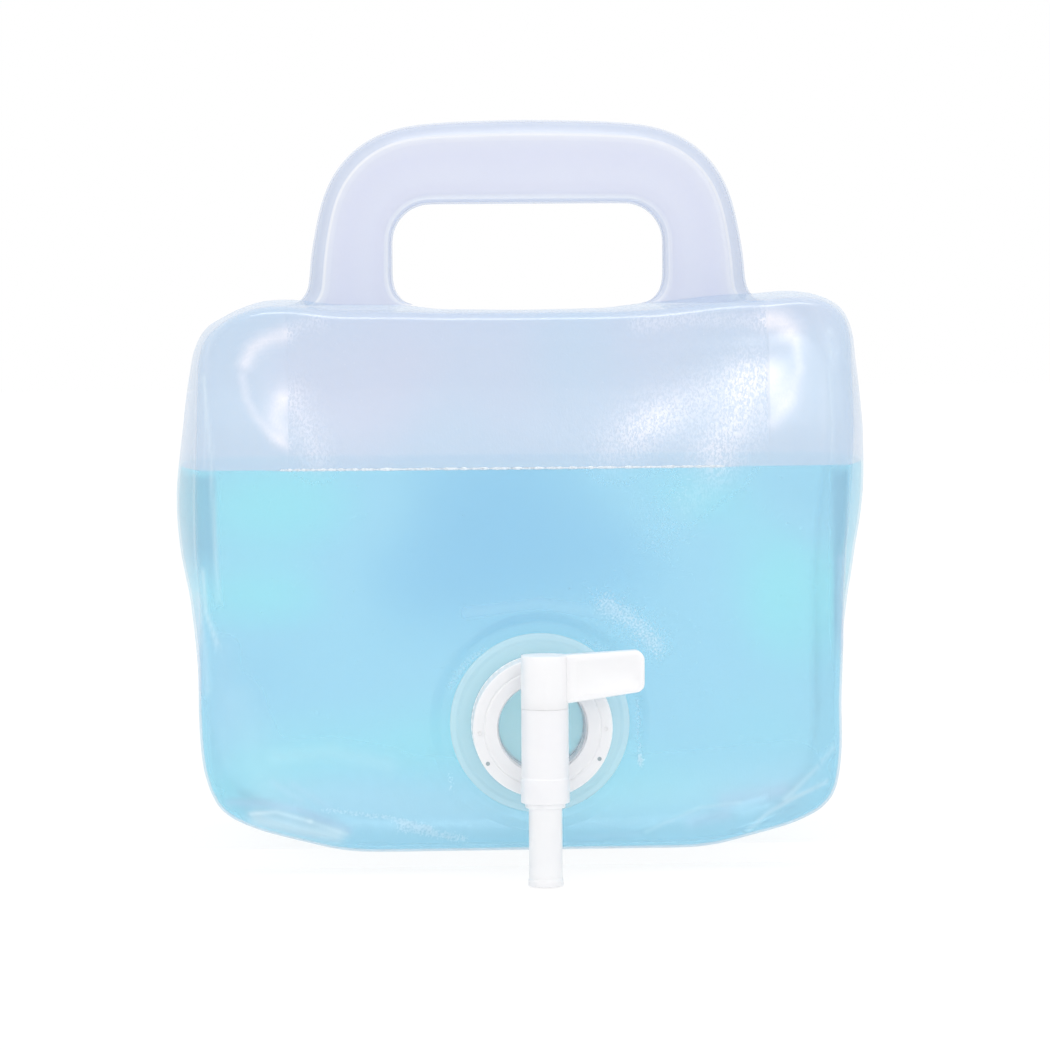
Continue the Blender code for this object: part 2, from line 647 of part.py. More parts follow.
def key_profile():
    """Half section of the key's turned part: spout, snap ring, plug with two grooves, and hub."""
    snap_top = -BARREL_BELOW - GAP
    snap_foot = snap_top - SNAP_HEIGHT
    mouth = snap_foot - SPOUT_LENGTH
    lip_top = mouth + SPOUT_LIP_HEIGHT
    hub_foot = BARREL_ABOVE + GAP
    hub_top = hub_foot + HUB_HEIGHT
    groove_radius = seal_radius() - SEAL_SECTION_RADIUS - GAP
    groove_half = SEAL_SECTION_RADIUS + GAP
    profile = [
        (0.0, hub_foot - PLUG_ROOF),
        (PLUG_BORE_RADIUS, hub_foot - PLUG_ROOF),
        (PLUG_BORE_RADIUS, mouth),
        (SPOUT_LIP_RADIUS, mouth),
        (SPOUT_LIP_RADIUS, lip_top),
        (SPOUT_RADIUS, lip_top + SPOUT_LIP_RADIUS - SPOUT_RADIUS),
        (SPOUT_RADIUS, snap_foot),
        (SNAP_RADIUS, snap_foot),
        (SNAP_RADIUS, snap_top),
        (PLUG_RADIUS, snap_top),
    ]
    for height in sorted(seal_heights().values()):
        profile += [
            (PLUG_RADIUS, height - groove_half),
            (groove_radius, height - groove_half),
            (groove_radius, height + groove_half),
            (PLUG_RADIUS, height + groove_half),
        ]
    profile += [
        (PLUG_RADIUS, hub_foot),
        (HUB_RADIUS, hub_foot),
        (HUB_RADIUS, hub_top - HUB_EDGE),
        (HUB_RADIUS - HUB_EDGE, hub_top),
        (0.0, hub_top),
    ]
    return profile


def arm_outline(margin=0.0):
    """Outline of the lever's arm in X and Z, or of its sunk panel, which lies a margin inside it."""
    hub_foot = BARREL_ABOVE + GAP
    hub_top = hub_foot + HUB_HEIGHT
    beside = max(HUB_RADIUS, BARREL_RADIUS) + ARM_CLEARANCE
    end_top = hub_top + ARM_RISE
    end_foot = end_top - ARM_END_HEIGHT
    corner = ARM_CORNER - 0.5 * margin
    tip = ARM_REACH - margin
    points = []
    for centre_z, start in ((end_foot + margin + corner, -0.5 * math.pi), (end_top - margin - corner, 0.0)):
        for step in range(ARM_CORNER_STEPS + 1):
            turn = start + 0.5 * math.pi * step / ARM_CORNER_STEPS
            points.append((tip - corner + corner * math.cos(turn), centre_z + corner * math.sin(turn)))
    if margin:
        points += [(beside + margin, hub_top - margin), (beside + margin, hub_foot - ARM_DROP + margin)]
    else:
        root = 0.5 * HUB_RADIUS
        points += [(root, hub_top - HUB_EDGE), (root, hub_foot + HUB_EDGE)]
        points += [(beside, hub_foot + HUB_EDGE), (beside, hub_foot - ARM_DROP)]
    return points


def slab(outline, low, high):
    """An outline in X and Z as a solid from low to high along Y."""
    shape = bmesh.new()
    face = shape.faces.new(add_ring(shape, [(x, low, z) for x, z in outline]))
    grown = bmesh.ops.extrude_face_region(shape, geom=[face])
    moved = [item for item in grown["geom"] if isinstance(item, bmesh.types.BMVert)]
    bmesh.ops.translate(shape, verts=moved, vec=(0.0, high - low, 0.0))
    return outward(shape)


def make_key(material, axis):
    """The tap's key. Its arm is joined on, and its port and the arm's two sunk panels are cut."""
    key = add_object("tap_key", turned(key_profile(), TAP_STEPS), material, axis)
    half = 0.5 * ARM_THICKNESS
    arm = slab(arm_outline(), -half, half)
    long_edges = [edge for edge in arm.edges if abs(edge.verts[0].co.y - edge.verts[1].co.y) < half]
    bmesh.ops.bevel(arm, geom=long_edges, offset=ARM_EDGE, segments=1, affect="EDGES")
    combine(key, "UNION", add_helper("arm_solid", arm, axis))
    for name, side in (("panel_front", -1.0), ("panel_back", 1.0)):
        near, far = side * (half - ARM_RECESS), side * (half + CUT_OVERRUN)
        panel = slab(arm_outline(ARM_RIM), min(near, far), max(near, far))
        combine(key, "DIFFERENCE", add_helper(name, panel, axis))
    port = cylinder(PORT_RADIUS, -PLUG_RADIUS - CUT_OVERRUN, 0.0, TAP_STEPS, CUT_START_SHARE, to_x=True)
    combine(key, "DIFFERENCE", add_helper("port", port, axis))
    return key


def make_seals(material, axis):
    """The two rings in the plug's grooves."""
    radius = seal_radius()
    for name, height in seal_heights().items():
        section = []
        for step in range(SEAL_SECTION_STEPS):
            turn = math.tau * step / SEAL_SECTION_STEPS
            across = radius + SEAL_SECTION_RADIUS * math.cos(turn)
            section.append((across, height + SEAL_SECTION_RADIUS * math.sin(turn)))
        add_object(name, turned(section, SEAL_STEPS, closed=True), material, axis)


def build():
    """Makes every piece, each moving one under an empty on its joint's axis."""
    clear_scene()
    soft_sheet = plastic("milky_polyethylene", (0.62, 0.72, 0.88), 0.30, 0.7)
    loop_sheet = plastic("milky_polyethylene_handle", (0.74, 0.76, 0.92), 0.35, 0.4)
    neck_sheet = plastic("clear_polyethylene_neck", (0.55, 0.76, 0.90), 0.25, 0.7)
    water = plastic("blue_water", (0.35, 0.71, 0.91), 0.05, 0.9)
    white_ring = plastic("white_polyethylene_collar", (0.96, 0.95, 0.96), 0.40)
    white_body = plastic("white_polyethylene_tap", (0.94, 0.94, 0.95), 0.38)
    white_key = plastic("white_polyethylene_key", (0.97, 0.96, 0.97), 0.36)
    grey_rubber = plastic("grey_gasket_rubber", (0.62, 0.62, 0.62), 0.70)
    black_rubber = plastic("black_seal_rubber", (0.04, 0.04, 0.04), 0.55)

    make_container(soft_sheet)
    make_water(water)
    make_handle(loop_sheet)

    out_of_bag = (0.5 * math.pi, 0.0, 0.0)
    front_axis = add_axis("front_axis", (0.0, 0.0, NECK_HEIGHT), rotation=out_of_bag)
    make_neck(neck_sheet, front_axis)
    tap_axis = add_axis("tap_axis", (0.0, 0.0, 0.0), parent=front_axis)
    make_gasket(grey_rubber, tap_axis)
    make_tap_body(white_body, tap_axis)
    collar_axis = add_axis("collar_axis", (0.0, 0.0, 0.0), parent=tap_axis)
    make_collar(white_ring, collar_axis)
    upright = (-0.5 * math.pi, 0.0, 0.0)
    key_axis = add_axis("key_axis", (0.0, 0.0, BARREL_OUT), parent=tap_axis, rotation=upright)
    make_key(white_key, key_axis)
    make_seals(black_rubber, key_axis)


build()
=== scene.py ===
"""Looks of a collapsible water carrier: a milky soft bag, part full of water, with a moulded loop handle,
a screw neck low on the front and a white lever tap.

Metres, +Z up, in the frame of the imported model. The tap is on the front, towards -Y.
"""

import logging
import math
from dataclasses import dataclass
from enum import Enum
from functools import partial
from typing import Any, Callable, Sequence

import bmesh
import bpy
import numpy as np
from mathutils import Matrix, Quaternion, Vector

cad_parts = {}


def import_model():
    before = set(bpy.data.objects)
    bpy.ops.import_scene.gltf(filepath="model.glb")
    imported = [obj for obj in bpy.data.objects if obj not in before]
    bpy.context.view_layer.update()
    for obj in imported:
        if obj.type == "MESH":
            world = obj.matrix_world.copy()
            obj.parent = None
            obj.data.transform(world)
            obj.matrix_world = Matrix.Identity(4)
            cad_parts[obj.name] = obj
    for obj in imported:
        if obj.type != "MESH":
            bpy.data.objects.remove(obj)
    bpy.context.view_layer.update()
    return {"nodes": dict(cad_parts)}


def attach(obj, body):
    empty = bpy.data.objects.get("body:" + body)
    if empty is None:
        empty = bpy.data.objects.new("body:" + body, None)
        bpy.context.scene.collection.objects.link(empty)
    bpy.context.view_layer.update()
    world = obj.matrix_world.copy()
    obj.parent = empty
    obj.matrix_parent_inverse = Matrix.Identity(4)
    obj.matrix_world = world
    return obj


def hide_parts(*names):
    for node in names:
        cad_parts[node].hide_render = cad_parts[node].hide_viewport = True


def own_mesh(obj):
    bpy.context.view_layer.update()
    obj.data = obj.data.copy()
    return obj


LOG = logging.getLogger("water_carrier")
MM = 0.001
NECK_HEIGHT = 46.7 * MM  # the neck's axis over the base
WATER_LEVEL = 136.8 * MM
NECK_CENTRE = (0.0, 0.0, NECK_HEIGHT)
TAP_OUT = 92.0 * MM  # the tap's upright axis in front of the seam plane
UP = (0.0, 0.0, 1.0)

# Options of shader nodes that come back often
SMOOTH = {"interpolation_type": "SMOOTHSTEP"}
COLOURS = {"data_type": "RGBA"}
VALUES = {"data_type": "FLOAT"}
ADD = {"operation": "ADD"}
SUBTRACT = {"operation": "SUBTRACT"}
MULTIPLY = {"operation": "MULTIPLY"}
ABSOLUTE = {"operation": "ABSOLUTE"}
MAXIMUM = {"operation": "MAXIMUM"}
MIXED_COLOUR = 2  # number of a mix node's colour output

Point = tuple[float, float]
Profile = list[Point]
Relief = Callable[[float, float], float]
Socket = bpy.types.NodeSocket
Adder = Callable[..., Socket]


# Shared helpers


def linear(colour: str, alpha: float = 1.0) -> tuple[float, float, float, float]:
    """Turns an sRGB hex colour into linear light.

    Args:
        colour: Hex digits such as "#B3C8E9".
        alpha: Opacity to give with it.

    Returns:
        Red, green, blue and alpha for a shader socket.
    """
    shares = [int(colour[place:place + 2], 16) / 255.0 for place in (1, 3, 5)]
    red, green, blue = (s / 12.92 if s <= 0.04045 else ((s + 0.055) / 1.055) ** 2.4 for s in shares)
    return red, green, blue, alpha


def wire(node: bpy.types.Node, inputs: dict[int | str, Any]) -> None:
    """Sets a node's inputs, and links those that are given as sockets.

    Args:
        node: The node.
        inputs: Values or output sockets by input name or number.
    """
    for key, value in inputs.items():
        if isinstance(value, Socket):
            node.id_data.links.new(value, node.inputs[key])
        else:
            node.inputs[key].default_value = value


def add_node(
    tree: bpy.types.NodeTree,
    kind: str,
    settings: dict[str, Any] | None = None,
    inputs: dict[int | str, Any] | None = None,
    output: int | str = 0,
) -> Socket:
    """Adds a shader node with its options, values and links.

    Args:
        tree: The node tree it goes into.
        kind: Blender's name of the node, without its first two words.
        settings: Options of the node by name, and under "stops" the places and colours of an eased ramp.
        inputs: Values or output sockets by input name or number.
        output: Name or number of the output to return.

    Returns:
        One output socket of the new node.
    """
    node = tree.nodes.new("ShaderNode" + kind)
    for name, value in (settings or {}).items():
        if name != "stops":
            setattr(node, name, value)
            continue
        node.color_ramp.interpolation = "EASE"
        elements = node.color_ramp.elements
        for index, (place, colour) in enumerate(value):
            # A new ramp holds two stops
            stop = elements[index] if index < 2 else elements.new(place)
            stop.position, stop.color = place, linear(colour)
    wire(node, inputs or {})
    return node.outputs[output]


def new_surface(name: str) -> tuple[bpy.types.Material, Adder, bpy.types.Node]:
    """Starts a material from one Principled shader.

    Args:
        name: Name of the material.

    Returns:
        The material, a function that adds nodes to it, and the shader.
    """
    material = bpy.data.materials.new(name)
    material.use_nodes = True
    tree = material.node_tree
    return material, partial(add_node, tree), tree.nodes["Principled BSDF"]


def add_piece(
    name: str,
    shape: bmesh.types.BMesh,
    body: str,
    slot: str,
    *materials: bpy.types.Material,
    sharp_degrees: float = 60.0,
) -> bpy.types.Object:
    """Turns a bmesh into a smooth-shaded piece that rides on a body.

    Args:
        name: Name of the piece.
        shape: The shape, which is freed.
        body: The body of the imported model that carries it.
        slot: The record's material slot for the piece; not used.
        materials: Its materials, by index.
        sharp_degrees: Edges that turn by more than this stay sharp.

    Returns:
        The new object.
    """
    bmesh.ops.recalc_face_normals(shape, faces=shape.faces)
    mesh = bpy.data.meshes.new(name)
    shape.to_mesh(mesh)
    shape.free()
    mesh.shade_smooth()
    mesh.set_sharp_from_angle(angle=math.radians(sharp_degrees))
    for material in materials:
        mesh.materials.append(material)
    piece = bpy.data.objects.new(name, mesh)
    bpy.context.scene.collection.objects.link(piece)
    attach(piece, body)
    LOG.info("%s: %d faces, rides on %s", name, len(mesh.polygons), body)
    return piece


def reopened(mesh: bpy.types.Mesh) -> bmesh.types.BMesh:
    """Turns a mesh back into a bmesh and removes it.

    Args:
        mesh: The mesh.

    Returns:
        The same shape as a bmesh.
    """
    shape = bmesh.new()
    shape.from_mesh(mesh)
    bpy.data.meshes.remove(mesh)
    return shape


def bridge(shape: bmesh.types.BMesh, rings: Sequence[Sequence[Any]], closed: bool = True, capped: bool = False) -> None:
    """Joins rings of vertices by faces, where a ring of one vertex is a pole.

    Args:
        shape: The shape that holds the rings.
        rings: Rings in their order.
        closed: Whether each ring closes on itself.
        capped: Whether the first and the last ring are filled.
    """
    for first, second in zip(rings, rings[1:]):
        count = max(len(first), len(second))
        for index in range(count if closed else count - 1):
            following = (index + 1) % count
            corners = [first[index % len(first)], first[following % len(first)]]
            corners += [second[following % len(second)], second[index % len(second)]]
            shape.faces.new(dict.fromkeys(corners))
    if capped:
        shape.faces.new(rings[0])
        shape.faces.new(rings[-1])


def subdivided(shape: bmesh.types.BMesh, levels: int = 2) -> bpy.types.Mesh:
    """Smooths a cage by Catmull-Clark subdivision.

    Args:
        shape: The cage, which is freed.
        levels: How often each face is split in four.

    Returns:
        A new mesh.
    """
    mesh = bpy.data.meshes.new("cage")
    shape.to_mesh(mesh)
    shape.free()
    cage = bpy.data.objects.new("cage", mesh)
    bpy.context.scene.collection.objects.link(cage)
    step = cage.modifiers.new("smooth", "SUBSURF")
    step.levels = step.render_levels = levels
    bpy.context.view_layer.update()
    smooth = bpy.data.meshes.new_from_object(cage.evaluated_get(bpy.context.evaluated_depsgraph_get()))
    bpy.data.objects.remove(cage)
    bpy.data.meshes.remove(mesh)
    return smooth


def vertex_rows(items: Any, field: str) -> np.ndarray:
    """Reads three numbers of each item of a mesh, such as a vertex's place.

    Args:
        items: The mesh's vertices or vertex normals.
        field: What is read of each.

    Returns:
        One row of three for each item.
    """
    rows = np.zeros(len(items) * 3)
    items.foreach_get(field, rows)
    return rows.reshape(-1, 3)


def eased(values: np.ndarray, low: float, high: float) -> np.ndarray:
    """Goes smoothly from 0 at low to 1 at high."""
    share = np.clip((values - low) / (high - low), 0.0, 1.0)
    return share * share * (3.0 - 2.0 * share)


class TurnAxis(Enum):
    """Which way the axis of a turned piece points."""

    UP = "up"
    OUT = "out"

    def place(self, radius: float, angle: float, height: float) -> tuple[float, float, float]:
        """A point at a radius, an angle and a height along the axis, before the piece is moved."""
        across, beside = radius * math.cos(angle), radius * math.sin(angle)
        return (across, beside, height) if self is TurnAxis.UP else (across, -height, beside)


class Layer(Enum):
    """Weights that a mesh carries for its material, by the name of the layer."""

    TONE = "tone"
    SIDE = "side"
    # Painted shade
    SHADE = "shade"
    # Painted glints
    PAINTED_GLINTS = "stress"
    # Painted highlights
    PAINTED_HIGHLIGHT = "sheen"
    # Partly painted highlights, partly paler film
    PALE = "pale"
    LILAC = "lilac"
    PANEL = "panel"
    ACROSS = "across"

    def store(self, mesh: bpy.types.Mesh, weights: np.ndarray) -> None:
        """Writes a weight for each vertex of a mesh."""
        layer = mesh.attributes.new(self.value, "FLOAT", "POINT")
        layer.data.foreach_set("value", weights.astype(np.float32))


def softened(profile: Profile, radius: float, steps: int = 4) -> Profile:
    """Rounds the corners of an open half section.

    Args:
        profile: Radius and height at each corner.
        radius: How far from a corner its rounding starts.
        steps: Stretches in each rounding.

    Returns:
        The longer profile.
    """
    corners = [np.array(point) for point in profile]
    result: Profile = [profile[0]]
    for before, corner, after in zip(corners, corners[1:], corners[2:]):
        back, ahead = before - corner, after - corner
        # Less than half of a short side, so that two roundings never meet
        reach = min(radius, 0.45 * float(np.linalg.norm(back)), 0.45 * float(np.linalg.norm(ahead)))
        start = corner + back / np.linalg.norm(back) * reach
        end = corner + ahead / np.linalg.norm(ahead) * reach
        for step in range(steps + 1):
            t = step / steps
            point = start * (1 - t) ** 2 + corner * 2 * t * (1 - t) + end * t * t
            result.append((float(point[0]), float(point[1])))
    result.append(profile[-1])
    return result


def turned(
    profile: Profile,
    steps: int,
    axis: TurnAxis,
    centre: tuple[float, float, float] = NECK_CENTRE,
    relief: Relief | None = None,
    closed: bool = True,
) -> bmesh.types.BMesh:
    """Turns a half section about an axis.

    Args:
        profile: Radius and height at each row.
        steps: Vertices round the axis.
        axis: Which way the axis points.
        centre: A point that the axis passes, where height is zero.
        relief: Adds to the radius by angle and height.
        closed: Whether the last row joins the first.

    Returns:
        The turned shape.
    """
    shape = bmesh.new()
    rings = []
    for radius, height in profile:
        count = steps if radius > 0.0 else 1
        ring = []
        for step in range(count):
            angle = math.tau * step / steps
            reach = radius + (relief(angle, height) if relief and radius > 0.0 else 0.0)
            ring.append(shape.verts.new(Vector(axis.place(reach, angle, height)) + Vector(centre)))
        rings.append(ring)
    bridge(shape, rings + rings[:1] if closed else rings)
    return shape


# Finishes


@dataclass(frozen=True)
class Haze:
    """A colour of the film, and how opaque the film is where it shows."""

    colour: str
    opacity: float


@dataclass(frozen=True)
class BagFilm:
    """Low-density polyethylene, blow-moulded thin: milky and satin, with a leathery grain that glints, and with painted
    highlights, painted glints and painted shade on its front.

    The real grain is finer. It is drawn at 0.8 mm, because a finer one would blur away in the render.
    """

    dry: Haze = Haze("#AFD0F0", 0.45)
    dry_pink: str = "#C2CEED"
    wet: Haze = Haze("#B2E2FC", 0.34)
    wet_deep: str = "#A4D6F4"
    wet_bright: str = "#AAECFC"
    side: Haze = Haze("#BAD6F4", 0.54)
    side_wet: str = "#A4E8FF"
    hazes: tuple[tuple[Layer, Haze], ...] = (
        # Painted shade beside the front's edges
        (Layer.SHADE, Haze("#8DBAD6", 0.62)),
        (Layer.LILAC, Haze("#B6C8EA", 0.60)),
        # Pale marks: partly painted highlights, partly paler film along folds
        (Layer.PALE, Haze("#E2F6FF", 0.70)),
    )
    # Painted highlights: a near-white film laid over the front where the soft boxes are reflected
    sheen: Haze = Haze("#F8F6FF", 0.82)
    # Painted glints: white flecks where the soft boxes would catch the grain
    glint_haze: Haze = Haze("#E8F4FF", 0.62)
    roughness: float = 0.20
    clouds_per_metre: float = 11.0
    grain_mm: float = 0.8
    grain_height: float = 0.10 * MM
    grain_stretch: tuple[float, float, float] = (1.0, 1.0, 0.55)
    fleck_mm: float = 0.8
    wave_mm: float = 26.0
    wave_height: float = 0.25 * MM
    line_height: float = 0.3 * MM
    level_blur: float = 0.4 * MM
    crease_half_gap: float = 85.1 * MM
    crease_half_width: float = 0.7 * MM
    crease_shift: float = -2.9 * MM
    # Over the water, where the creases fade in
    crease_fade: tuple[float, float] = (4.0 * MM, 18.0 * MM)
    parting: tuple[float, float] = (0.2 * MM, 0.8 * MM)

    def make(self) -> bpy.types.Material:
        """Builds the material. Where water lies behind it, the film is clearer, because it is wet.

        Returns:
            The material.
        """
        material, add, surface = new_surface("Blow_moulded_low_density_polyethylene_film")
        place = add("TexCoord", output="Object")
        axes = add("SeparateXYZ", inputs={0: place}).node.outputs
        layers = (Layer.TONE, Layer.SIDE, Layer.PAINTED_HIGHLIGHT, Layer.PAINTED_GLINTS, *dict(self.hazes))
        shares = {layer: add("Attribute", {"attribute_name": layer.value}, output="Fac") for layer in layers}
        levels = {"From Min": WATER_LEVEL - self.level_blur, "From Max": WATER_LEVEL + self.level_blur}
        above = add("MapRange", SMOOTH, {"Value": axes["Z"], **levels})
        drift = add("TexNoise", None, {"Vector": place, "Scale": self.clouds_per_metre, "Detail": 1.0}, "Fac")
        cloud = add("MapRange", SMOOTH, {"Value": drift, "From Min": 0.40, "From Max": 0.62})
        centred = add("Math", SUBTRACT, {0: axes["X"], 1: self.crease_shift})
        beside = add("Math", ABSOLUTE, {0: centred})
        gap = {"From Min": self.crease_half_gap - 0.5 * MM, "From Max": self.crease_half_gap}
        inside = add("MapRange", SMOOTH, {"Value": beside, **gap, "To Min": 1.0, "To Max": 0.12})
        # The grain's wrinkles stand upright and are about twice as long as wide
        upright = add("VectorMath", MULTIPLY, {0: place, 1: self.grain_stretch})
        wrinkles = {"Scale": 1.0 / (self.grain_mm * MM), "Detail": 2.0, "Roughness": 0.55, "Distortion": 0.6}
        grain = add("TexNoise", None, {"Vector": upright, **wrinkles}, "Fac")

        tones = ((0.0, self.wet_deep), (1.0, self.wet_bright), (0.5, self.wet.colour))
        wet = add("ValToRGB", {"stops": tones}, {0: shares[Layer.TONE]})
        wet = add("Mix", COLOURS, {0: shares[Layer.SIDE], 6: wet, 7: linear(self.side_wet)}, MIXED_COLOUR)
        dry = add("Mix", COLOURS, {0: cloud, 6: linear(self.dry.colour), 7: linear(self.dry_pink)}, MIXED_COLOUR)
        dry = add("Mix", COLOURS, {0: shares[Layer.SIDE], 6: dry, 7: linear(self.side.colour)}, MIXED_COLOUR)
        colour = add("Mix", COLOURS, {0: above, 6: wet, 7: dry}, MIXED_COLOUR)
        opacity = add("MapRange", None, {"Value": above, "To Min": self.wet.opacity, "To Max": self.dry.opacity})
        opacity = add("Mix", VALUES, {0: shares[Layer.SIDE], 2: opacity, 3: self.side.opacity})
        overlays = [(shares[layer], haze) for layer, haze in self.hazes]
        # Painted highlights, broken up by the grain between the creases, then painted glints as white flecks
        overlays.append((self._leathery(add, grain, inside, shares[Layer.PAINTED_HIGHLIGHT]), self.sheen))
        overlays.append((self._glint_flecks(add, place, shares[Layer.PAINTED_GLINTS]), self.glint_haze))
        for share, haze in overlays:
            colour = add("Mix", COLOURS, {0: share, 6: colour, 7: linear(haze.colour)}, MIXED_COLOUR)
            opacity = add("Mix", VALUES, {0: share, 2: opacity, 3: haze.opacity})
        relief = add("Math", MULTIPLY, {0: grain, 1: inside})
        wire(surface, {
            "Base Color": colour,
            "Alpha": opacity,
            "Roughness": self.roughness,
            "IOR": 1.51,
            # The opacity also thins the gloss, so the gloss is set stronger by as much
            "Specular IOR Level": 1.0,
            "Coat Weight": 0.35,
            "Coat Roughness": 0.14,
            "Normal": self._bump(add, place, relief, beside),
        })
        return material

    def _leathery(self, add: Adder, grain: Socket, inside: Socket, share: Socket) -> Socket:
        """A share, here that of the painted highlights, that shows on the grain's ridges only between the creases, and
        everywhere outside them.

        Args:
            add: Adds a node to the material.
            grain: Height of the grain.
            inside: 1 between the creases.
            share: The share.

        Returns:
            The broken share.
        """
        ridges = {"Value": grain, "From Min": 0.38, "From Max": 0.62, "To Min": 0.35, "To Max": 1.0}
        broken = add("Mix", VALUES, {0: inside, 2: 1.0, 3: add("MapRange", SMOOTH, ridges)})
        return add("Math", MULTIPLY, {0: broken, 1: share})

    def _glint_flecks(self, add: Adder, place: Socket, share: Socket) -> Socket:
        """Painted glints: bright white flecks, under a millimetre across, along the marked lines.

        Args:
            add: Adds a node to the material.
            place: Object coordinates.
            share: How strongly the painted glints show.

        Returns:
            The flecks' share.
        """
        size = {"Scale": 1.0 / (self.fleck_mm * MM), "Detail": 2.0, "Roughness": 0.6}
        level = add("Math", ADD, {0: add("TexNoise", None, {"Vector": place, **size}, "Fac"), 1: share})
        return add("MapRange", None, {"Value": level, "From Min": 0.70, "From Max": 1.0, "To Max": 0.75})

    def _bump(self, add: Adder, place: Socket, grain: Socket, beside: Socket) -> Socket:
        """The leathery grain, the two upright folds and the mould's parting line, as one normal.

        Args:
            add: Adds a node to the material.
            place: Object coordinates.
            grain: Height of the grain.
            beside: Distance from the middle between the folds.

        Returns:
            The bumped normal.
        """
        axes = add("SeparateXYZ", inputs={0: place}).node.outputs
        broad = add("TexNoise", None, {"Vector": place, "Scale": 1.0 / (self.wave_mm * MM), "Detail": 1.0}, "Fac")
        waves = add("Bump", None, {"Strength": 1.0, "Distance": self.wave_height, "Height": broad})
        skin = {"Strength": 1.0, "Distance": self.grain_height, "Height": grain, "Normal": waves}
        skin_normal = add("Bump", None, skin)
        off = add("Math", SUBTRACT, {0: beside, 1: self.crease_half_gap})
        width = {"From Min": -self.crease_half_width, "From Max": self.crease_half_width}
        fold = add("MapRange", SMOOTH, {"Value": off, **width})
        low, high = (WATER_LEVEL + height for height in self.crease_fade)
        fades = add("MapRange", SMOOTH, {"Value": axes["Z"], "From Min": low, "From Max": high})
        away = add("Math", ABSOLUTE, {0: axes["Y"]})
        low, high = self.parting
        line = {"Value": away, "From Min": low, "From Max": high, "To Min": 1.0, "To Max": 0.0}
        parting = add("MapRange", SMOOTH, line)
        folds = add("Math", MULTIPLY, {0: fold, 1: fades})
        lines = add("Math", ADD, {0: folds, 1: parting})
        ridge = {"Strength": 0.8, "Distance": self.line_height, "Height": lines, "Normal": skin_normal}
        return add("Bump", None, ridge)


@dataclass(frozen=True)
class BlueWater:
    """Clean water with a blue tint: clear and bright, deeper blue in the middle of the bag.

    The film is bonded to the water by wetting, so the water bends light less than it would bare, and the film's
    grain blurs what is seen through it.
    """

    deep: str = "#A2DEFA"
    mid: str = "#B4EDFE"
    bright: str = "#B2F8FF"
    roughness: float = 0.26
    bend: float = 1.15

    def make(self) -> bpy.types.Material:
        """Builds the material as clear water with a drifting tint.

        Returns:
            The material.
        """
        material, add, surface = new_surface("Clear_blue_water")
        stops = ((0.0, self.deep), (1.0, self.bright), (0.5, self.mid))
        tone = add("Attribute", {"attribute_name": Layer.TONE.value}, output="Fac")
        tint = add("ValToRGB", {"stops": stops}, {0: tone})
        wire(surface, {
            "Base Color": tint, "Transmission Weight": 1.0, "IOR": self.bend, "Roughness": self.roughness,
        })
        return material


@dataclass(frozen=True)
class StillSurface:
    """The water's own flat top: bare and smooth, so at a low angle it mirrors the milky film behind it. Its paler tint
    paints in part of that reflection.
    """

    # A paler tint than the water's, which paints in part of the mirrored film
    colour: str = "#D2F0FC"
    roughness: float = 0.04

    def make(self) -> bpy.types.Material:
        """Builds the material with the full index of water.

        Returns:
            The material.
        """
        material, _, surface = new_surface("Still_water_surface")
        wire(surface, {
            "Base Color": linear(self.colour), "Transmission Weight": 1.0, "IOR": 1.333, "Roughness": self.roughness,
        })
        return material


@dataclass(frozen=True)
class WaterLineFrothAndGlint:
    """Fine bubbles and a painted glint at the water's edge: a thin bright bead with gaps."""

    colour: str = "#F2F9FF"
    bubble_mm: float = 1.1

    def make(self) -> bpy.types.Material:
        """Builds the material, whose gaps come from a noise.

        Returns:
            The material.
        """
        material, add, surface = new_surface("Fine_bubbles_and_painted_glint_at_the_water_line")
        size = {"Vector": add("TexCoord", output="Object"), "Scale": 1.0 / (self.bubble_mm * MM), "Detail": 2.0}
        gaps = {"From Min": 0.34, "From Max": 0.60, "To Min": 0.60, "To Max": 0.92}
        share = add("MapRange", None, {"Value": add("TexNoise", None, size, "Fac"), **gaps})
        wire(surface, {"Alpha": share, "Base Color": linear(self.colour), "Roughness": 0.2, "IOR": 1.333})
        return material


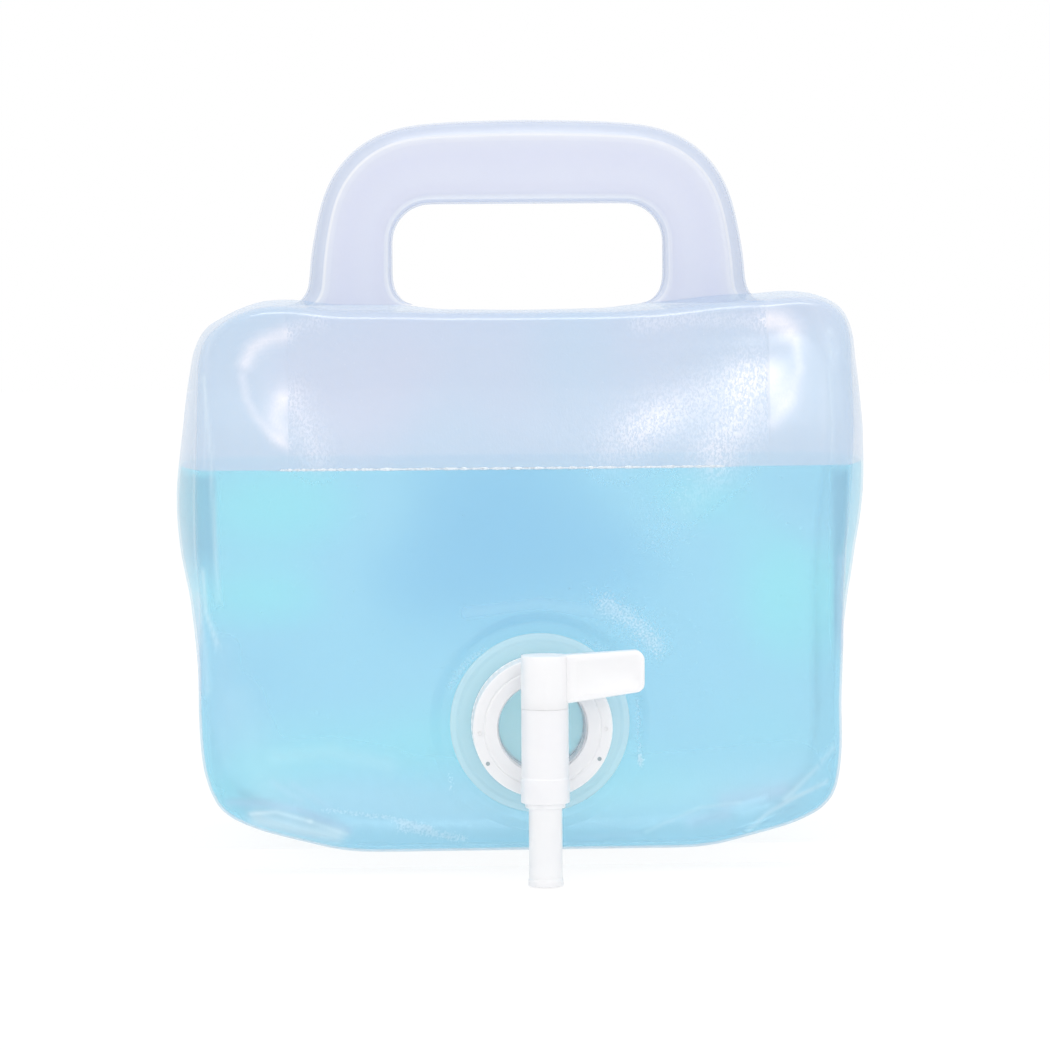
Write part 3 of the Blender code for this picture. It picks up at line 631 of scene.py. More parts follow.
@dataclass(frozen=True)
class MouldedWall:
    """Low-density polyethylene in a thicker moulded wall: milky lavender-white with a satin skin.

    Bands are colours along the mesh's own layer, across the wall: its own tint, with painted highlight lines along the
    slopes' crests and painted shade towards the edges.
    """

    name: str
    colour: str
    shade: str
    opacity: float
    roughness: float = 0.30
    clouds_per_metre: float = 28.0
    grain_mm: float = 0.9
    grain_height: float = 0.05 * MM
    tint_and_painted_light_bands: tuple[tuple[float, str], ...] = ()

    def make(self) -> bpy.types.Material:
        """Builds the material, with faint clouding from uneven cooling.

        Returns:
            The material.
        """
        material, add, surface = new_surface(self.name)
        place = add("TexCoord", output="Object")
        cloud = add("TexNoise", None, {"Vector": place, "Scale": self.clouds_per_metre, "Detail": 2.0}, "Fac")
        grain = add("TexNoise", None, {"Vector": place, "Scale": 1.0 / (self.grain_mm * MM), "Detail": 2.0}, "Fac")
        tints = {0: cloud, 6: linear(self.colour), 7: linear(self.shade)}
        colour = add("Mix", COLOURS, tints, MIXED_COLOUR)
        if self.tint_and_painted_light_bands:
            # A ramp's first two stops are its ends
            ordered = (self.tint_and_painted_light_bands[0], self.tint_and_painted_light_bands[-1], *self.tint_and_painted_light_bands[1:-1])
            across = add("Attribute", {"attribute_name": Layer.ACROSS.value}, output="Fac")
            band = add("ValToRGB", {"stops": ordered}, {0: across})
            blend = {**COLOURS, "blend_type": "MULTIPLY"}
            colour = add("Mix", blend, {0: 1.0, 6: band, 7: colour}, MIXED_COLOUR)
        wire(surface, {
            "Base Color": colour,
            "Normal": add("Bump", None, {"Strength": 0.6, "Distance": self.grain_height, "Height": grain}),
            "Alpha": self.opacity,
            "Roughness": self.roughness,
            "IOR": 1.51,
            "Specular IOR Level": 0.8,
        })
        return material


@dataclass(frozen=True)
class WhiteMoulding:
    """High-density polyethylene, injection-moulded: white, satin, with faint flow marks and a fine pitted skin."""

    name: str
    colour: str = "#FDFCFD"
    shade: str = "#F7F6F9"
    roughness: float = 0.36
    flows_per_metre: float = 60.0
    pit_mm: float = 0.5
    pit_depth: float = 0.03 * MM

    def make(self) -> bpy.types.Material:
        """Builds the material. Polyethylene lets a little light in, which softens its shadows.

        Returns:
            The material.
        """
        material, add, surface = new_surface(self.name)
        place = add("TexCoord", output="Object")
        marks = {"Vector": place, "Scale": self.flows_per_metre, "Detail": 3.0, "Distortion": 1.5}
        flow = add("TexNoise", None, marks, "Fac")
        pits = add("TexNoise", None, {"Vector": place, "Scale": 1.0 / (self.pit_mm * MM), "Detail": 2.0}, "Fac")
        tints = {0: flow, 6: linear(self.colour), 7: linear(self.shade)}
        gloss = {"Value": flow, "To Min": self.roughness - 0.06, "To Max": self.roughness + 0.08}
        wire(surface, {
            "Base Color": add("Mix", COLOURS, tints, MIXED_COLOUR),
            "Roughness": add("MapRange", None, gloss),
            "Normal": add("Bump", None, {"Strength": 0.5, "Distance": self.pit_depth, "Height": pits}),
            "IOR": 1.54,
            "Subsurface Weight": 0.3,
            "Subsurface Radius": (1.0, 1.0, 1.0),
            "Subsurface Scale": 2.0 * MM,
        })
        return material


@dataclass(frozen=True)
class MouldedRubber:
    """Silicone or nitrile rubber, compression-moulded: matt, with a dusty bloom."""

    name: str
    colour: str
    bloom: str
    bloom_mm: float = 3.0

    def make(self) -> bpy.types.Material:
        """Builds the material.

        Returns:
            The material.
        """
        material, add, surface = new_surface(self.name)
        size = {"Vector": add("TexCoord", output="Object"), "Scale": 1.0 / (self.bloom_mm * MM), "Detail": 3.0}
        tints = {0: add("TexNoise", None, size, "Fac"), 6: linear(self.colour), 7: linear(self.bloom)}
        wire(surface, {"Base Color": add("Mix", COLOURS, tints, MIXED_COLOUR), "Roughness": 0.7})
        return material


# The bag and the water in it


@dataclass(frozen=True)
class Patch:
    """A soft oval on the front, in millimetres across and up."""

    centre: Point
    half: Point
    strength: float
    softness: float = 0.95

    def weight(self, across: np.ndarray, up: np.ndarray) -> np.ndarray:
        """How strongly each point lies in the oval, falling off over its edge."""
        reach = np.hypot((across - self.centre[0]) / self.half[0], (up - self.centre[1]) / self.half[1])
        return self.strength * np.exp(-((reach / self.softness) ** 2))


@dataclass(frozen=True)
class PaintedLine:
    """A soft-edged painted line over the front, in millimetres across and up, that carries painted highlights, glints
    or shade, or a paler or lilac tint of the film.
    """

    half_width: float
    strength: float
    path: tuple[Point, ...]

    def weight(self, across: np.ndarray, up: np.ndarray) -> np.ndarray:
        """How strongly each point is marked.

        Args:
            across: X of each point, in millimetres.
            up: Z of each point, in millimetres.

        Returns:
            A weight for each point, falling off across the line.
        """
        away = np.full(len(across), np.inf)
        points = np.array(self.path)
        for start, end in zip(points, points[1:]):
            run = end - start
            places = np.stack([across, up], axis=1) - start
            share = np.clip(places @ run / float(run @ run), 0.0, 1.0)
            away = np.minimum(away, np.linalg.norm(places - share[:, None] * run, axis=1))
        return self.strength * np.exp(-((away / self.half_width) ** 2))


@dataclass(frozen=True)
class BagForm:
    """The form that the film and the water share: outlines of seam and panels, and the depth between them.

    Outlines hold the right half from base centre to top centre, as shares of half width and height.
    """

    seam_half_width: float = 125.3 * MM
    seam_height: float = 194.5 * MM
    panel_half_width: float = 117.0 * MM
    panel_height: float = 192.6 * MM
    edge_depth: float = 52.0 * MM
    edge_radius: float = 4.5 * MM
    base_edge_radius: float = 3.5 * MM
    base_edge_reach: float = 30.0 * MM
    edge_rise: float = 7.5 * MM
    crown: float = 3.5 * MM
    back_centre_height: float = 90.0 * MM
    seat_depth: float = 60.0 * MM
    dish_radius: float = 39.0 * MM
    seat_radius: float = 35.0 * MM
    hole_radius: float = 32.05 * MM
    plug_radius: float = 17.7 * MM
    plug_depth: float = 65.8 * MM
    seam_sway: float = -2.1 * MM
    front_sway: float = -3.4 * MM
    sway_reach: float = 50.0 * MM
    neck_calm: float = 45.0 * MM  # how far from the seat the bag starts to lean
    # From the seam plane, where the dents set in
    dent_span: Point = (25.0 * MM, 45.0 * MM)
    # Pushes in millimetres: two broad ripples, the lower corners, and a hollow below the right shoulder
    ripples: Point = (0.16, 0.14)
    corner_push: float = 0.24
    corner_start: Point = (65.0, 10.0)
    corner_slope: Point = (0.269, 0.963)
    hollow_push: float = 0.16
    hollow_height: float = 177.5
    # Height, sway and width share where the full bag leans and spreads, heights and sways in millimetres
    leans: tuple[tuple[float, float, float], ...] = (
        (0.0, -0.4, 1.050), (8.0, -0.7, 1.052), (14.0, -1.1, 1.035), (20.0, -1.3, 1.022), (30.0, -2.0, 1.021),
        (51.0, -2.7, 1.013), (73.0, -2.2, 1.008), (90.0, -1.9, 0.998), (106.0, -2.1, 1.000), (128.0, -1.1, 1.003),
        (150.0, 0.0, 1.003), (172.0, 0.0, 1.000), (195.0, 0.5, 1.008),
    )
    top_span: Point = (150.0 * MM, 188.0 * MM)
    # Rise in millimetres, and from which to which place across it builds up
    shoulders: tuple[tuple[float, float, float], ...] = (
        (1.9, -64.0, -86.0), (-3.5, -91.0, -112.0), (2.9, 40.0, 80.0), (1.4, 82.0, 98.0),
    )
    seam_shares: tuple[Point, ...] = (
        (0.000, 0.000), (0.479, 0.000), (0.670, 0.026), (0.782, 0.067), (0.846, 0.129), (0.882, 0.216),
        (0.926, 0.360), (0.976, 0.504), (1.000, 0.643), (0.986, 0.787), (0.962, 0.905), (0.914, 0.969),
        (0.806, 0.996), (0.670, 1.000), (0.351, 0.9995), (0.255, 0.990), (0.000, 0.987),
    )
    panel_shares: tuple[Point, ...] = (
        (0.000, 0.000), (0.470, 0.000), (0.684, 0.026), (0.855, 0.063), (0.936, 0.115), (0.962, 0.209),
        (0.971, 0.366), (0.985, 0.513), (0.997, 0.660), (1.000, 0.801), (0.997, 0.901), (0.966, 0.963),
        (0.872, 0.996), (0.726, 1.000), (0.359, 0.998), (0.274, 0.996), (0.000, 0.995),
    )
    depth_shares: tuple[Point, ...] = ((0.00, 0.93), (0.30, 1.00), (0.70, 0.95), (1.00, 0.81))
    depth_samples: int = 1201
    outline_steps: tuple[int, ...] = (6, 3, 3, 4, 2, 2, 3, 3, 3, 3, 4, 4, 4, 2, 2, 4)
    side_shares: tuple[float, ...] = (0.15, 0.35, 0.55, 0.75, 0.90, 1.00)
    turn_shares: tuple[float, ...] = (0.15, 0.33, 0.50, 0.67, 0.84, 1.00)
    front_shares: tuple[float, ...] = (0.08, 0.18, 0.30, 0.42, 0.55, 0.68, 0.82, 0.94, 1.00)
    back_shares: tuple[float, ...] = (0.10, 0.24, 0.38, 0.52, 0.66, 0.80, 0.92)

    # Where the water's tint is brighter or, below zero, deeper
    patches: tuple[Patch, ...] = (
        Patch((-92.8, 121.8), (34.0, 17.0), 0.85),
        Patch((-97.6, 89.5), (28.0, 10.0), 0.85),
        Patch((91.8, 88.2), (17.0, 24.0), 1.1),
        Patch((56.8, 123.3), (26.0, 12.0), 0.5),
        Patch((-73.3, 35.8), (38.0, 9.0), 0.6),
        Patch((-13.7, 113.2), (34.0, 42.0), -0.95),
        Patch((-50.8, 94.1), (26.0, 20.0), -0.3),
        Patch((97.3, 123.0), (12.0, 15.0), -0.35),
        Patch((28.5, 104.1), (24.0, 24.0), -0.45),
        Patch((-100.3, 59.2), (22.0, 20.0), -0.25),
        Patch((35.0, 21.3), (44.0, 13.0), 0.5),
        Patch((-38.8, 37.7), (18.0, 15.0), 0.4),
        Patch((-102.3, 24.0), (26.0, 10.0), 0.5),
        Patch((84.4, 40.3), (22.0, 12.0), 0.3),
        # Painted light: the water in and behind the neck is brightened against the shade of the tap's recess
        Patch((0.0, 46.7), (23.0, 23.0), 1.2),
    )
    tint_gain: float = 1.25

    def _slope(self, first: np.ndarray, second: np.ndarray, before: float, after: float) -> np.ndarray:
        """Slope between two chords, zero where either is flat or they turn back.

        Args:
            first: Slope of the chord before the point.
            second: Slope of the chord after it.
            before: Length of the chord before the point.
            after: Length of the chord after it.

        Returns:
            The slope at the point.
        """
        same = first * second > 0.0
        first, second = np.where(same, first, 1.0), np.where(same, second, 1.0)
        return np.where(same, (before + after) / (before / first + after / second), 0.0)

    def _curve_point(self, points: np.ndarray, place: float) -> np.ndarray:
        """A point on the smooth curve through a list of points.

        Args:
            points: The points.
            place: Where on the curve, counted in points from the first.

        Returns:
            The point there.
        """
        index = min(int(place), len(points) - 2)
        chords = np.linalg.norm(np.diff(points, axis=0), axis=1)
        slopes = np.diff(points, axis=0) / chords[:, None]
        before, after = max(index - 1, 0), min(index + 1, len(chords) - 1)
        own = chords[index]
        start = self._slope(slopes[before], slopes[index], chords[before], own)
        end = self._slope(slopes[index], slopes[after], own, chords[after])
        t = place - index
        return (
            points[index] * (2 * t**3 - 3 * t**2 + 1)
            + start * own * (t**3 - 2 * t**2 + t)
            + points[index + 1] * (3 * t**2 - 2 * t**3)
            + end * own * (t**3 - t**2)
        )

    def outline(self, shares: Sequence[Point], half_width: float, height: float) -> np.ndarray:
        """A closed outline in X and Z, from base centre up the right half and down the left.

        Args:
            shares: Points of the right half, as shares of half width and height.
            half_width: Half of the outline's width.
            height: Its height.

        Returns:
            One row of X and Z for each point.
        """
        scaled = np.array(shares) * (half_width, height)
        places = [0.0]
        for index, steps in enumerate(self.outline_steps):
            places += [index + step / steps for step in range(1, steps + 1)]
        right = np.array([self._curve_point(scaled, place) for place in places])
        right[0, 0] = right[-1, 0] = 0.0
        return np.vstack([right, right[-2:0:-1] * (-1.0, 1.0)])

    def depth_at(self, heights: np.ndarray) -> np.ndarray:
        """How deep a panel's edge lies from the seam plane.

        Args:
            heights: Heights over the base.

        Returns:
            The depth at each height.
        """
        known = np.array(self.depth_shares)
        steps = np.linspace(0.0, len(known) - 1.0, self.depth_samples)
        curve = np.array([self._curve_point(known, step) for step in steps])
        shares = np.clip(heights / self.panel_height, 0.0, 1.0)
        return self.edge_depth * np.interp(shares, curve[:, 0], curve[:, 1])

    def bulge(self, outline: np.ndarray) -> np.ndarray:
        """How far a panel bulges, like a pillow with no ridges.

        Args:
            outline: Rows of X and Z.

        Returns:
            The bulge at each row.
        """
        across = np.clip(np.abs(outline[:, 0]) / (self.panel_half_width - self.edge_radius), 0.0, 1.0)
        low, high = self.base_edge_radius, self.panel_height - self.edge_radius
        up = np.clip((2.0 * outline[:, 1] - low - high) / (high - low), -1.0, 1.0)
        return self.crown * (1.0 - across**2) * (1.0 - up**4)

    def circle(self, radius: float, count: int) -> np.ndarray:
        """A circle about the neck's axis, from its lowest point towards +X."""
        turns = math.tau * np.arange(count) / count
        return np.stack([radius * np.sin(turns), NECK_HEIGHT - radius * np.cos(turns)], axis=1)

    def rings(self, plugged: bool) -> list[tuple[np.ndarray, float]]:
        """Rings of points from the neck over the seam to the centre of the back.

        Args:
            plugged: Whether the form runs on into the neck's bore and is closed there.

        Returns:
            For each ring an array of points, and 1 where the ring lies on a panel, else 0.
        """
        seam = self.outline(self.seam_shares, self.seam_half_width, self.seam_height)
        panel = self.outline(self.panel_shares, self.panel_half_width, self.panel_height)
        count = len(seam)
        depths = self.depth_at(panel[:, 1])
        tightness = eased(panel[:, 1], 0.0, self.base_edge_reach)
        radii = self.base_edge_radius + (self.edge_radius - self.base_edge_radius) * tightness
        along = np.roll(panel, -1, axis=0) - np.roll(panel, 1, axis=0)
        along /= np.linalg.norm(along, axis=1)[:, None]
        inwards = np.stack([-along[:, 1], along[:, 0]], axis=1)

        sides = [(seam + (panel - seam) * step**2, depths * step, 0.0) for step in self.side_shares]
        for step in self.turn_shares:
            turn = 0.5 * math.pi * step
            reach = radii * (1.0 - math.cos(turn))
            sides.append((panel + inwards * reach[:, None], depths + self.edge_rise * math.sin(turn), 0.0))
        rounded = sides[-1][0]

        def towards(target: np.ndarray, step: float) -> tuple[np.ndarray, np.ndarray, float]:
            """The outline and depths of a ring between the rounded edge and a target."""
            outline = rounded + (target - rounded) * step
            return outline, self.depth_at(outline[:, 1]) + self.edge_rise + self.bulge(outline), 1.0

        front = sides + [towards(self.circle(self.dish_radius, count), step) for step in self.front_shares]
        flat = np.full(count, self.seat_depth)
        for radius in (self.dish_radius - 1.6 * MM, self.seat_radius + 0.8 * MM):
            share = (self.dish_radius - radius) / (self.dish_radius - self.seat_radius)
            front.append((self.circle(radius, count), front[-1][1] + (flat - front[-1][1]) * share, 0.0))
        level = [self.seat_radius, self.seat_radius - 1.0 * MM, self.hole_radius]
        if plugged:
            level += [self.plug_radius + 2.0 * MM, self.plug_radius + 0.4 * MM]
        front += [(self.circle(radius, count), flat, 0.0) for radius in level]
        if plugged:
            for share in (0.1, 0.6, 0.9, 1.0):
                depth = flat + (self.plug_depth - self.seat_depth) * share
                front.append((self.circle(self.plug_radius, count), depth, 0.0))
            for radius in (self.plug_radius - 0.4 * MM, 0.5 * self.plug_radius, 0.1 * self.plug_radius):
                front.append((self.circle(radius, count), np.full(count, self.plug_depth), 0.0))
        centre = np.tile((0.0, self.back_centre_height), (count, 1))
        back = sides + [towards(centre, step) for step in self.back_shares]
        pole, pole_depth, _ = towards(centre, 1.0)

        rings = [(self._at_depth(outline, depth), weight) for outline, depth, weight in reversed(front)]
        rings.append((self._at_depth(seam, np.zeros(count)), 0.0))
        rings += [(self._at_depth(outline, -depth), weight) for outline, depth, weight in back]
        rings.append((self._at_depth(pole[:1], -pole_depth[:1]), 1.0))
        return rings

    def _at_depth(self, outline: np.ndarray, depths: np.ndarray) -> np.ndarray:
        """An outline in X and Z as points, where a positive depth is towards the front."""
        return np.stack([outline[:, 0], -depths, outline[:, 1]], axis=1)

    def push(self, points: np.ndarray) -> np.ndarray:
        """How far handling and water have pushed each point of the skin in, towards the seam plane.

        Args:
            points: Points of the smooth skin.

        Returns:
            A distance in metres for each point.
        """
        x, z = points[:, 0] / MM, points[:, 2] / MM
        front = points[:, 1] < 0.0
        reach = np.abs(x)
        upright, slanting = self.ripples
        depth = upright * np.sin(x / 19.0 + 0.8) * np.sin(z / 27.0 + 0.3)
        depth += slanting * np.sin(x / 33.0 - z / 21.0 + np.where(front, 0.0, 2.0))
        # Outside a slanting line, each lower corner is pushed in, over 7 mm at most
        below = (reach - self.corner_start[0]) * self.corner_slope[0]
        below -= (z - self.corner_start[1]) * self.corner_slope[1]
        depth += np.clip(below + 1.0, 0.0, 7.0) * self.corner_push * eased(reach, 62.0, 78.0)
        right = eased(x, 0.0, 34.0) * (1.0 - eased(x, 90.0, 102.0))
        right = right * np.exp(-(((z - self.hollow_height) / 4.0) ** 2))
        depth += front * self.hollow_push * right
        # The dish about the neck keeps its form
        margin = np.hypot(x, z - NECK_HEIGHT / MM) - self.dish_radius / MM
        return depth * MM * np.where(front, eased(margin, 1.0, 14.0), 1.0)

    def _finer_front(self, mesh: bpy.types.Mesh) -> None:
        """Splits each face of the front panel in four, for the fine marks that it carries.

        Args:
            mesh: The skin.
        """
        shape = bmesh.new()
        shape.from_mesh(mesh)
        layer = shape.verts.layers.float[Layer.PANEL.value]
        edges = [edge for edge in shape.edges if all(end[layer] > 0.5 and end.co.y < 0.0 for end in edge.verts)]
        bmesh.ops.subdivide_edges(shape, edges=edges, cuts=1, use_grid_fill=True)
        shape.to_mesh(mesh)
        shape.free()

    def skin(self, plugged: bool = False, finer: bool = False) -> bpy.types.Mesh:
        """The outer skin as a smooth mesh with its dents.

        Args:
            plugged: Whether it runs on into the neck.
            finer: Whether the front panel carries fine marks.

        Returns:
            A mesh with no material.
        """
        shape = bmesh.new()
        layer = shape.verts.layers.float.new(Layer.PANEL.value)
        rings = []
        for ring, weight in self.rings(plugged):
            rings.append([shape.verts.new(point) for point in ring])
            for vertex in rings[-1]:
                vertex[layer] = weight
        bridge(shape, rings)
        if plugged:
            shape.faces.new(rings[0])
        bmesh.ops.recalc_face_normals(shape, faces=shape.faces)
        mesh = subdivided(shape)
        if finer:
            self._finer_front(mesh)
        points = vertex_rows(mesh.vertices, "co")
        weights = np.zeros(len(points), np.float32)
        mesh.attributes[Layer.PANEL.value].data.foreach_get("value", weights)
        # Subdivision leaves facets on a panel, so its depth is worked out anew at each point
        side = np.sign(points[:, 1])
        flat = side * (self.depth_at(points[:, 2]) + self.edge_rise + self.bulge(points[:, [0, 2]]))
        points[:, 1] += (flat - points[:, 1]) * eased(weights, 0.5, 1.0)
        points[:, 1] -= side * self.push(points) * eased(np.abs(points[:, 1]), *self.dent_span)
        self._lean(points)
        mesh.vertices.foreach_set("co", points.ravel())
        mesh.update()
        Layer.TONE.store(mesh, self.tone(points))
        return mesh

    def _lean(self, points: np.ndarray) -> None:
        """Leans and spreads the full bag and lifts its shoulders, but leaves the neck where it is.

        Args:
            points: Points of the skin, which are moved.
        """
        margin = np.hypot(points[:, 0], points[:, 2] - NECK_HEIGHT) - self.seat_radius
        near_neck = (points[:, 1] < -self.dent_span[0]) * (1.0 - eased(margin, 0.0, self.neck_calm))
        forward = eased(-points[:, 1], 0.0, self.sway_reach)
        heights, leans, widths = np.array(self.leans).T
        sway = self.seam_sway + (self.front_sway - self.seam_sway) * forward
        sway += np.interp(points[:, 2] / MM, heights, leans) * MM
        sway += (np.interp(points[:, 2] / MM, heights, widths) - 1.0) * points[:, 0]
        top = eased(points[:, 2], *self.top_span)
        for lift, start, end in self.shoulders:
            points[:, 2] += top * lift * MM * eased(points[:, 0] / MM, start, end)
        points[:, 0] += sway * (1.0 - near_neck)

    def tone(self, points: np.ndarray) -> np.ndarray:
        """How bright or deep the water's tint is, from 0 to 1.

        Args:
            points: Points of the skin.

        Returns:
            The tone at each point.
        """
        across, up = points[:, 0] / MM, points[:, 2] / MM
        total = sum(patch.weight(across, up) for patch in self.patches)
        return 0.5 + 0.5 * np.tanh(self.tint_gain * total)


@dataclass
class SoftBag:
    """The blow-moulded bag, the water in it and the bright bead of bubbles and painted glint along the water's edge."""

    form: BagForm
    film: BagFilm
    water: BlueWater
    surface: StillSurface
    froth_and_glint: WaterLineFrothAndGlint
    film_to_water: float = 0.9 * MM
    bead_radius: float = 0.54 * MM
    bead_inset: float = 0.35 * MM
    bead_sides: int = 6
    bead_waviness: float = 0.25
    bead_span: Point = (-96.5 * MM, 73.0 * MM)
    kept_when_flat: float = 0.25
    # In millimetres: where the front begins, and where the wall beside the panels turns to them
    front_from: float = -25.0
    side_span: Point = (36.0, 56.0)
    # Where the painted dark upright bands of shade set in and end: across, up, and from the seam plane
    left_edge: Point = (-114.5, -112.0)
    left_rise: Point = (92.0, 112.0)
    right_edges: tuple[Point, Point] = ((103.5, 105.5), (109.5, 111.5))
    right_rise: Point = (60.0, 84.0)
    band_depth: Point = (8.0, 30.0)
    band_top: Point = (134.6, 136.6)
    painted_lines: tuple[tuple[Layer, tuple[PaintedLine, ...]], ...] = (
        # Painted glints: sparkles of the soft boxes on the grained film, drawn as white flecks
        (Layer.PAINTED_GLINTS, (
            PaintedLine(4.0, 0.26, ((23.8, 88.6), (35.4, 81.2), (41.7, 73.0))),
            PaintedLine(8.0, 0.14, ((21.4, 90.1), (38.9, 75.9))),
            PaintedLine(1.8, 0.26, ((-31.6, 60.2), (-26.7, 67.2), (-19.2, 72.7))),
            PaintedLine(1.4, 0.24, ((16.0, 75.3), (23.4, 72.4))),
            PaintedLine(1.2, 0.24, ((34.5, 54.8), (35.4, 32.9))),
            PaintedLine(1.5, 0.3, ((35.8, 33.6), (35.8, 31.5))),
            PaintedLine(1.3, 0.24, ((-31.9, 28.5), (-31.2, 23.5))),
            PaintedLine(1.2, 0.28, ((-76.3, 16.5), (-54.1, 13.5), (-39.0, 9.5))),
            PaintedLine(2.2, 0.34, ((-49.6, 9.9), (-27.1, 5.2))),
            PaintedLine(9.0, 0.12, ((53.4, 135.6), (42.6, 111.0))),
        )),
        # Painted highlights: the soft boxes' reflections in the front's upper corners, a C on the left and a D on the
        # right, and the broad sheen inside the right crease
        (Layer.PAINTED_HIGHLIGHT, (
            PaintedLine(2.9, 0.78, ((-102.7, 174.5), (-100.2, 179.4), (-96.3, 182.2), (-92.0, 183.6), (-88.5, 184.3))),
            PaintedLine(2.4, 0.3, ((-86.4, 186.4), (-77.2, 189.1))),
            PaintedLine(1.8, 0.42, ((-103.7, 169.6), (-102.4, 161.8), (-98.6, 154.8), (-93.7, 148.7), (-88.4, 145.2))),
            PaintedLine(3.6, 0.64, ((-90.4, 161.7), (-92.6, 155.4), (-90.2, 149.1))),
            PaintedLine(5.4, 0.46, ((-85.8, 163.1), (-81.7, 151.8), (-78.2, 141.9))),
            PaintedLine(4.4, 0.95, ((83.7, 188.3), (86.8, 187.6), (90.0, 184.8))),
            PaintedLine(1.9, 0.44, ((92.4, 180.2), (93.7, 171.0))),
            PaintedLine(4.8, 0.40, ((84.9, 169.0), (86.6, 160.5))),
            PaintedLine(2.8, 0.36, ((92.3, 167.5), (90.2, 159.8), (83.8, 152.1))),
            PaintedLine(2.8, 0.36, ((36.1, 186.9), (57.3, 188.9), (79.8, 187.7))),
            PaintedLine(8.5, 0.72, ((77.5, 169.7), (73.9, 156.4), (62.6, 142.4))),
            PaintedLine(8.0, 0.50, ((69.4, 166.3), (53.5, 160.0), (35.9, 150.3))),
            PaintedLine(8.0, 0.34, ((42.9, 153.8), (26.0, 143.3))),
            PaintedLine(4.5, 0.16, ((66.4, 136.7), (58.6, 128.3), (51.9, 122.7))),
        )),
        # Pale marks: mostly painted highlights, as light lines along edges and creases and the lens-shaped glint low on
        # the left, with a broad band of painted light along the bottom, and partly paler film where it is folded
        (Layer.PALE, (
            PaintedLine(0.8, 0.4, ((-117.5, 169.9), (-115.2, 142.4), (-113.1, 91.0))),
            PaintedLine(0.9, 0.6, ((-118.3, 100.9), (-117.3, 86.8), (-113.2, 74.8))),
            PaintedLine(1.3, 0.35, ((-120.5, 94.6), (-117.8, 73.4), (-117.2, 59.3))),
            PaintedLine(3.2, 0.75, ((-100.3, 12.8), (-84.8, 9.1), (-72.1, 6.9))),
            PaintedLine(0.9, 0.55, ((-102.4, 15.2), (-93.5, 15.9), (-81.3, 12.3))),
            PaintedLine(0.9, 0.3, ((-81.3, 12.3), (-68.6, 7.6))),
            PaintedLine(0.9, 0.4, ((105.5, 37.4), (99.8, 30.4), (87.4, 18.1))),
            PaintedLine(0.9, 0.5, ((75.0, 7.0), (81.0, 12.9), (89.9, 18.1), (102.2, 24.0))),
            PaintedLine(0.9, 0.22, ((37.7, 6.9), (56.1, 15.2), (70.9, 17.2))),
            PaintedLine(3.4, 0.22, ((-92.7, 35.9), (-74.0, 37.2), (-53.7, 32.9))),
            PaintedLine(0.8, 0.3, ((104.4, 184.5), (104.8, 138.8))),
            PaintedLine(2.2, 0.14, ((-25.8, 86.2), (0.2, 89.2), (25.6, 85.1))),
            PaintedLine(10.0, 0.24, ((-88.2, 21.8), (-7.3, 15.6), (87.8, 22.7))),
            PaintedLine(7.0, 0.16, ((-105.6, 55.7), (-98.1, 24.0))),
        )),
        (Layer.LILAC, (
            PaintedLine(1.9, 0.55, ((-110.1, 19.5), (-98.1, 19.1), (-84.7, 16.2), (-67.9, 9.0))),
            PaintedLine(3.4, 0.58, ((66.0, 18.3), (76.0, 19.8), (85.7, 21.3))),
            PaintedLine(3.0, 0.46, ((54.0, 10.3), (66.0, 12.5))),
            PaintedLine(1.4, 0.28, ((-94.5, 26.5), (-84.7, 20.0))),
            PaintedLine(1.4, 0.28, ((-87.5, 25.7), (-74.9, 17.5))),
            PaintedLine(4.5, 0.2, ((-111.1, 73.4), (-112.1, 31.2))),
            PaintedLine(1.6, 0.5, ((-120.1, 91.0), (-120.0, 59.4))),
            PaintedLine(2.0, 0.5, ((107.7, 103.5), (107.8, 71.9))),
            PaintedLine(1.6, 0.22, ((6.7, 3.9), (34.9, 6.2))),
        )),
    )

    def build(self) -> list[bpy.types.Object]:
        """Builds the film, the water and the bright bead at the water's edge.

        Returns:
            The three pieces.
        """
        pieces = [self._film(), self._water(), self._bead()]
        for piece in pieces:
            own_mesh(piece)
        return pieces

    def _film(self) -> bpy.types.Object:
        """Builds the bag's wall as one skin, open at the neck, with its painted highlights, glints, shade and tints
        marked.

        Returns:
            The piece.
        """
        mesh = self.form.skin(finer=True)
        across, depth, up = (column / MM for column in vertex_rows(mesh.vertices, "co").T)
        for layer, painted_lines in self.painted_lines:
            total = sum(painted_line.weight(across, up) for painted_line in painted_lines)
            layer.store(mesh, total * (depth < self.front_from))
        # Between the panels the wall runs away from the eye, so its milkiness adds up
        Layer.SIDE.store(mesh, 1.0 - eased(np.abs(depth), *self.side_span))
        # Painted shade: beside the front's edges, where the water is seen through two folds of film, a darker upright
        # band
        left = (1.0 - eased(across, *self.left_edge)) * eased(up, *self.left_rise)
        near, far = self.right_edges
        right = eased(across, *near) * (1.0 - eased(across, *far)) * eased(up, *self.right_rise)
        band = (left + right) * eased(-depth, *self.band_depth) * (1.0 - eased(up, *self.band_top))
        Layer.SHADE.store(mesh, band)
        piece = add_piece("bag_film", reopened(mesh), "bag", "bag", self.film.make(), sharp_degrees=180.0)
        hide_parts("container")
        return piece

    def _cut_at_level(self, shape: bmesh.types.BMesh, keep_above: bool) -> dict[str, Any]:
        """Cuts a shape at the water's level.

        Args:
            shape: The shape.
            keep_above: Whether what stands over the level stays.

        Returns:
            What the cut made.
        """
        everything = [*shape.verts, *shape.edges, *shape.faces]
        level = (0.0, 0.0, WATER_LEVEL)
        return bmesh.ops.bisect_plane(
            shape, geom=everything, plane_co=level, plane_no=UP, clear_outer=not keep_above
        )

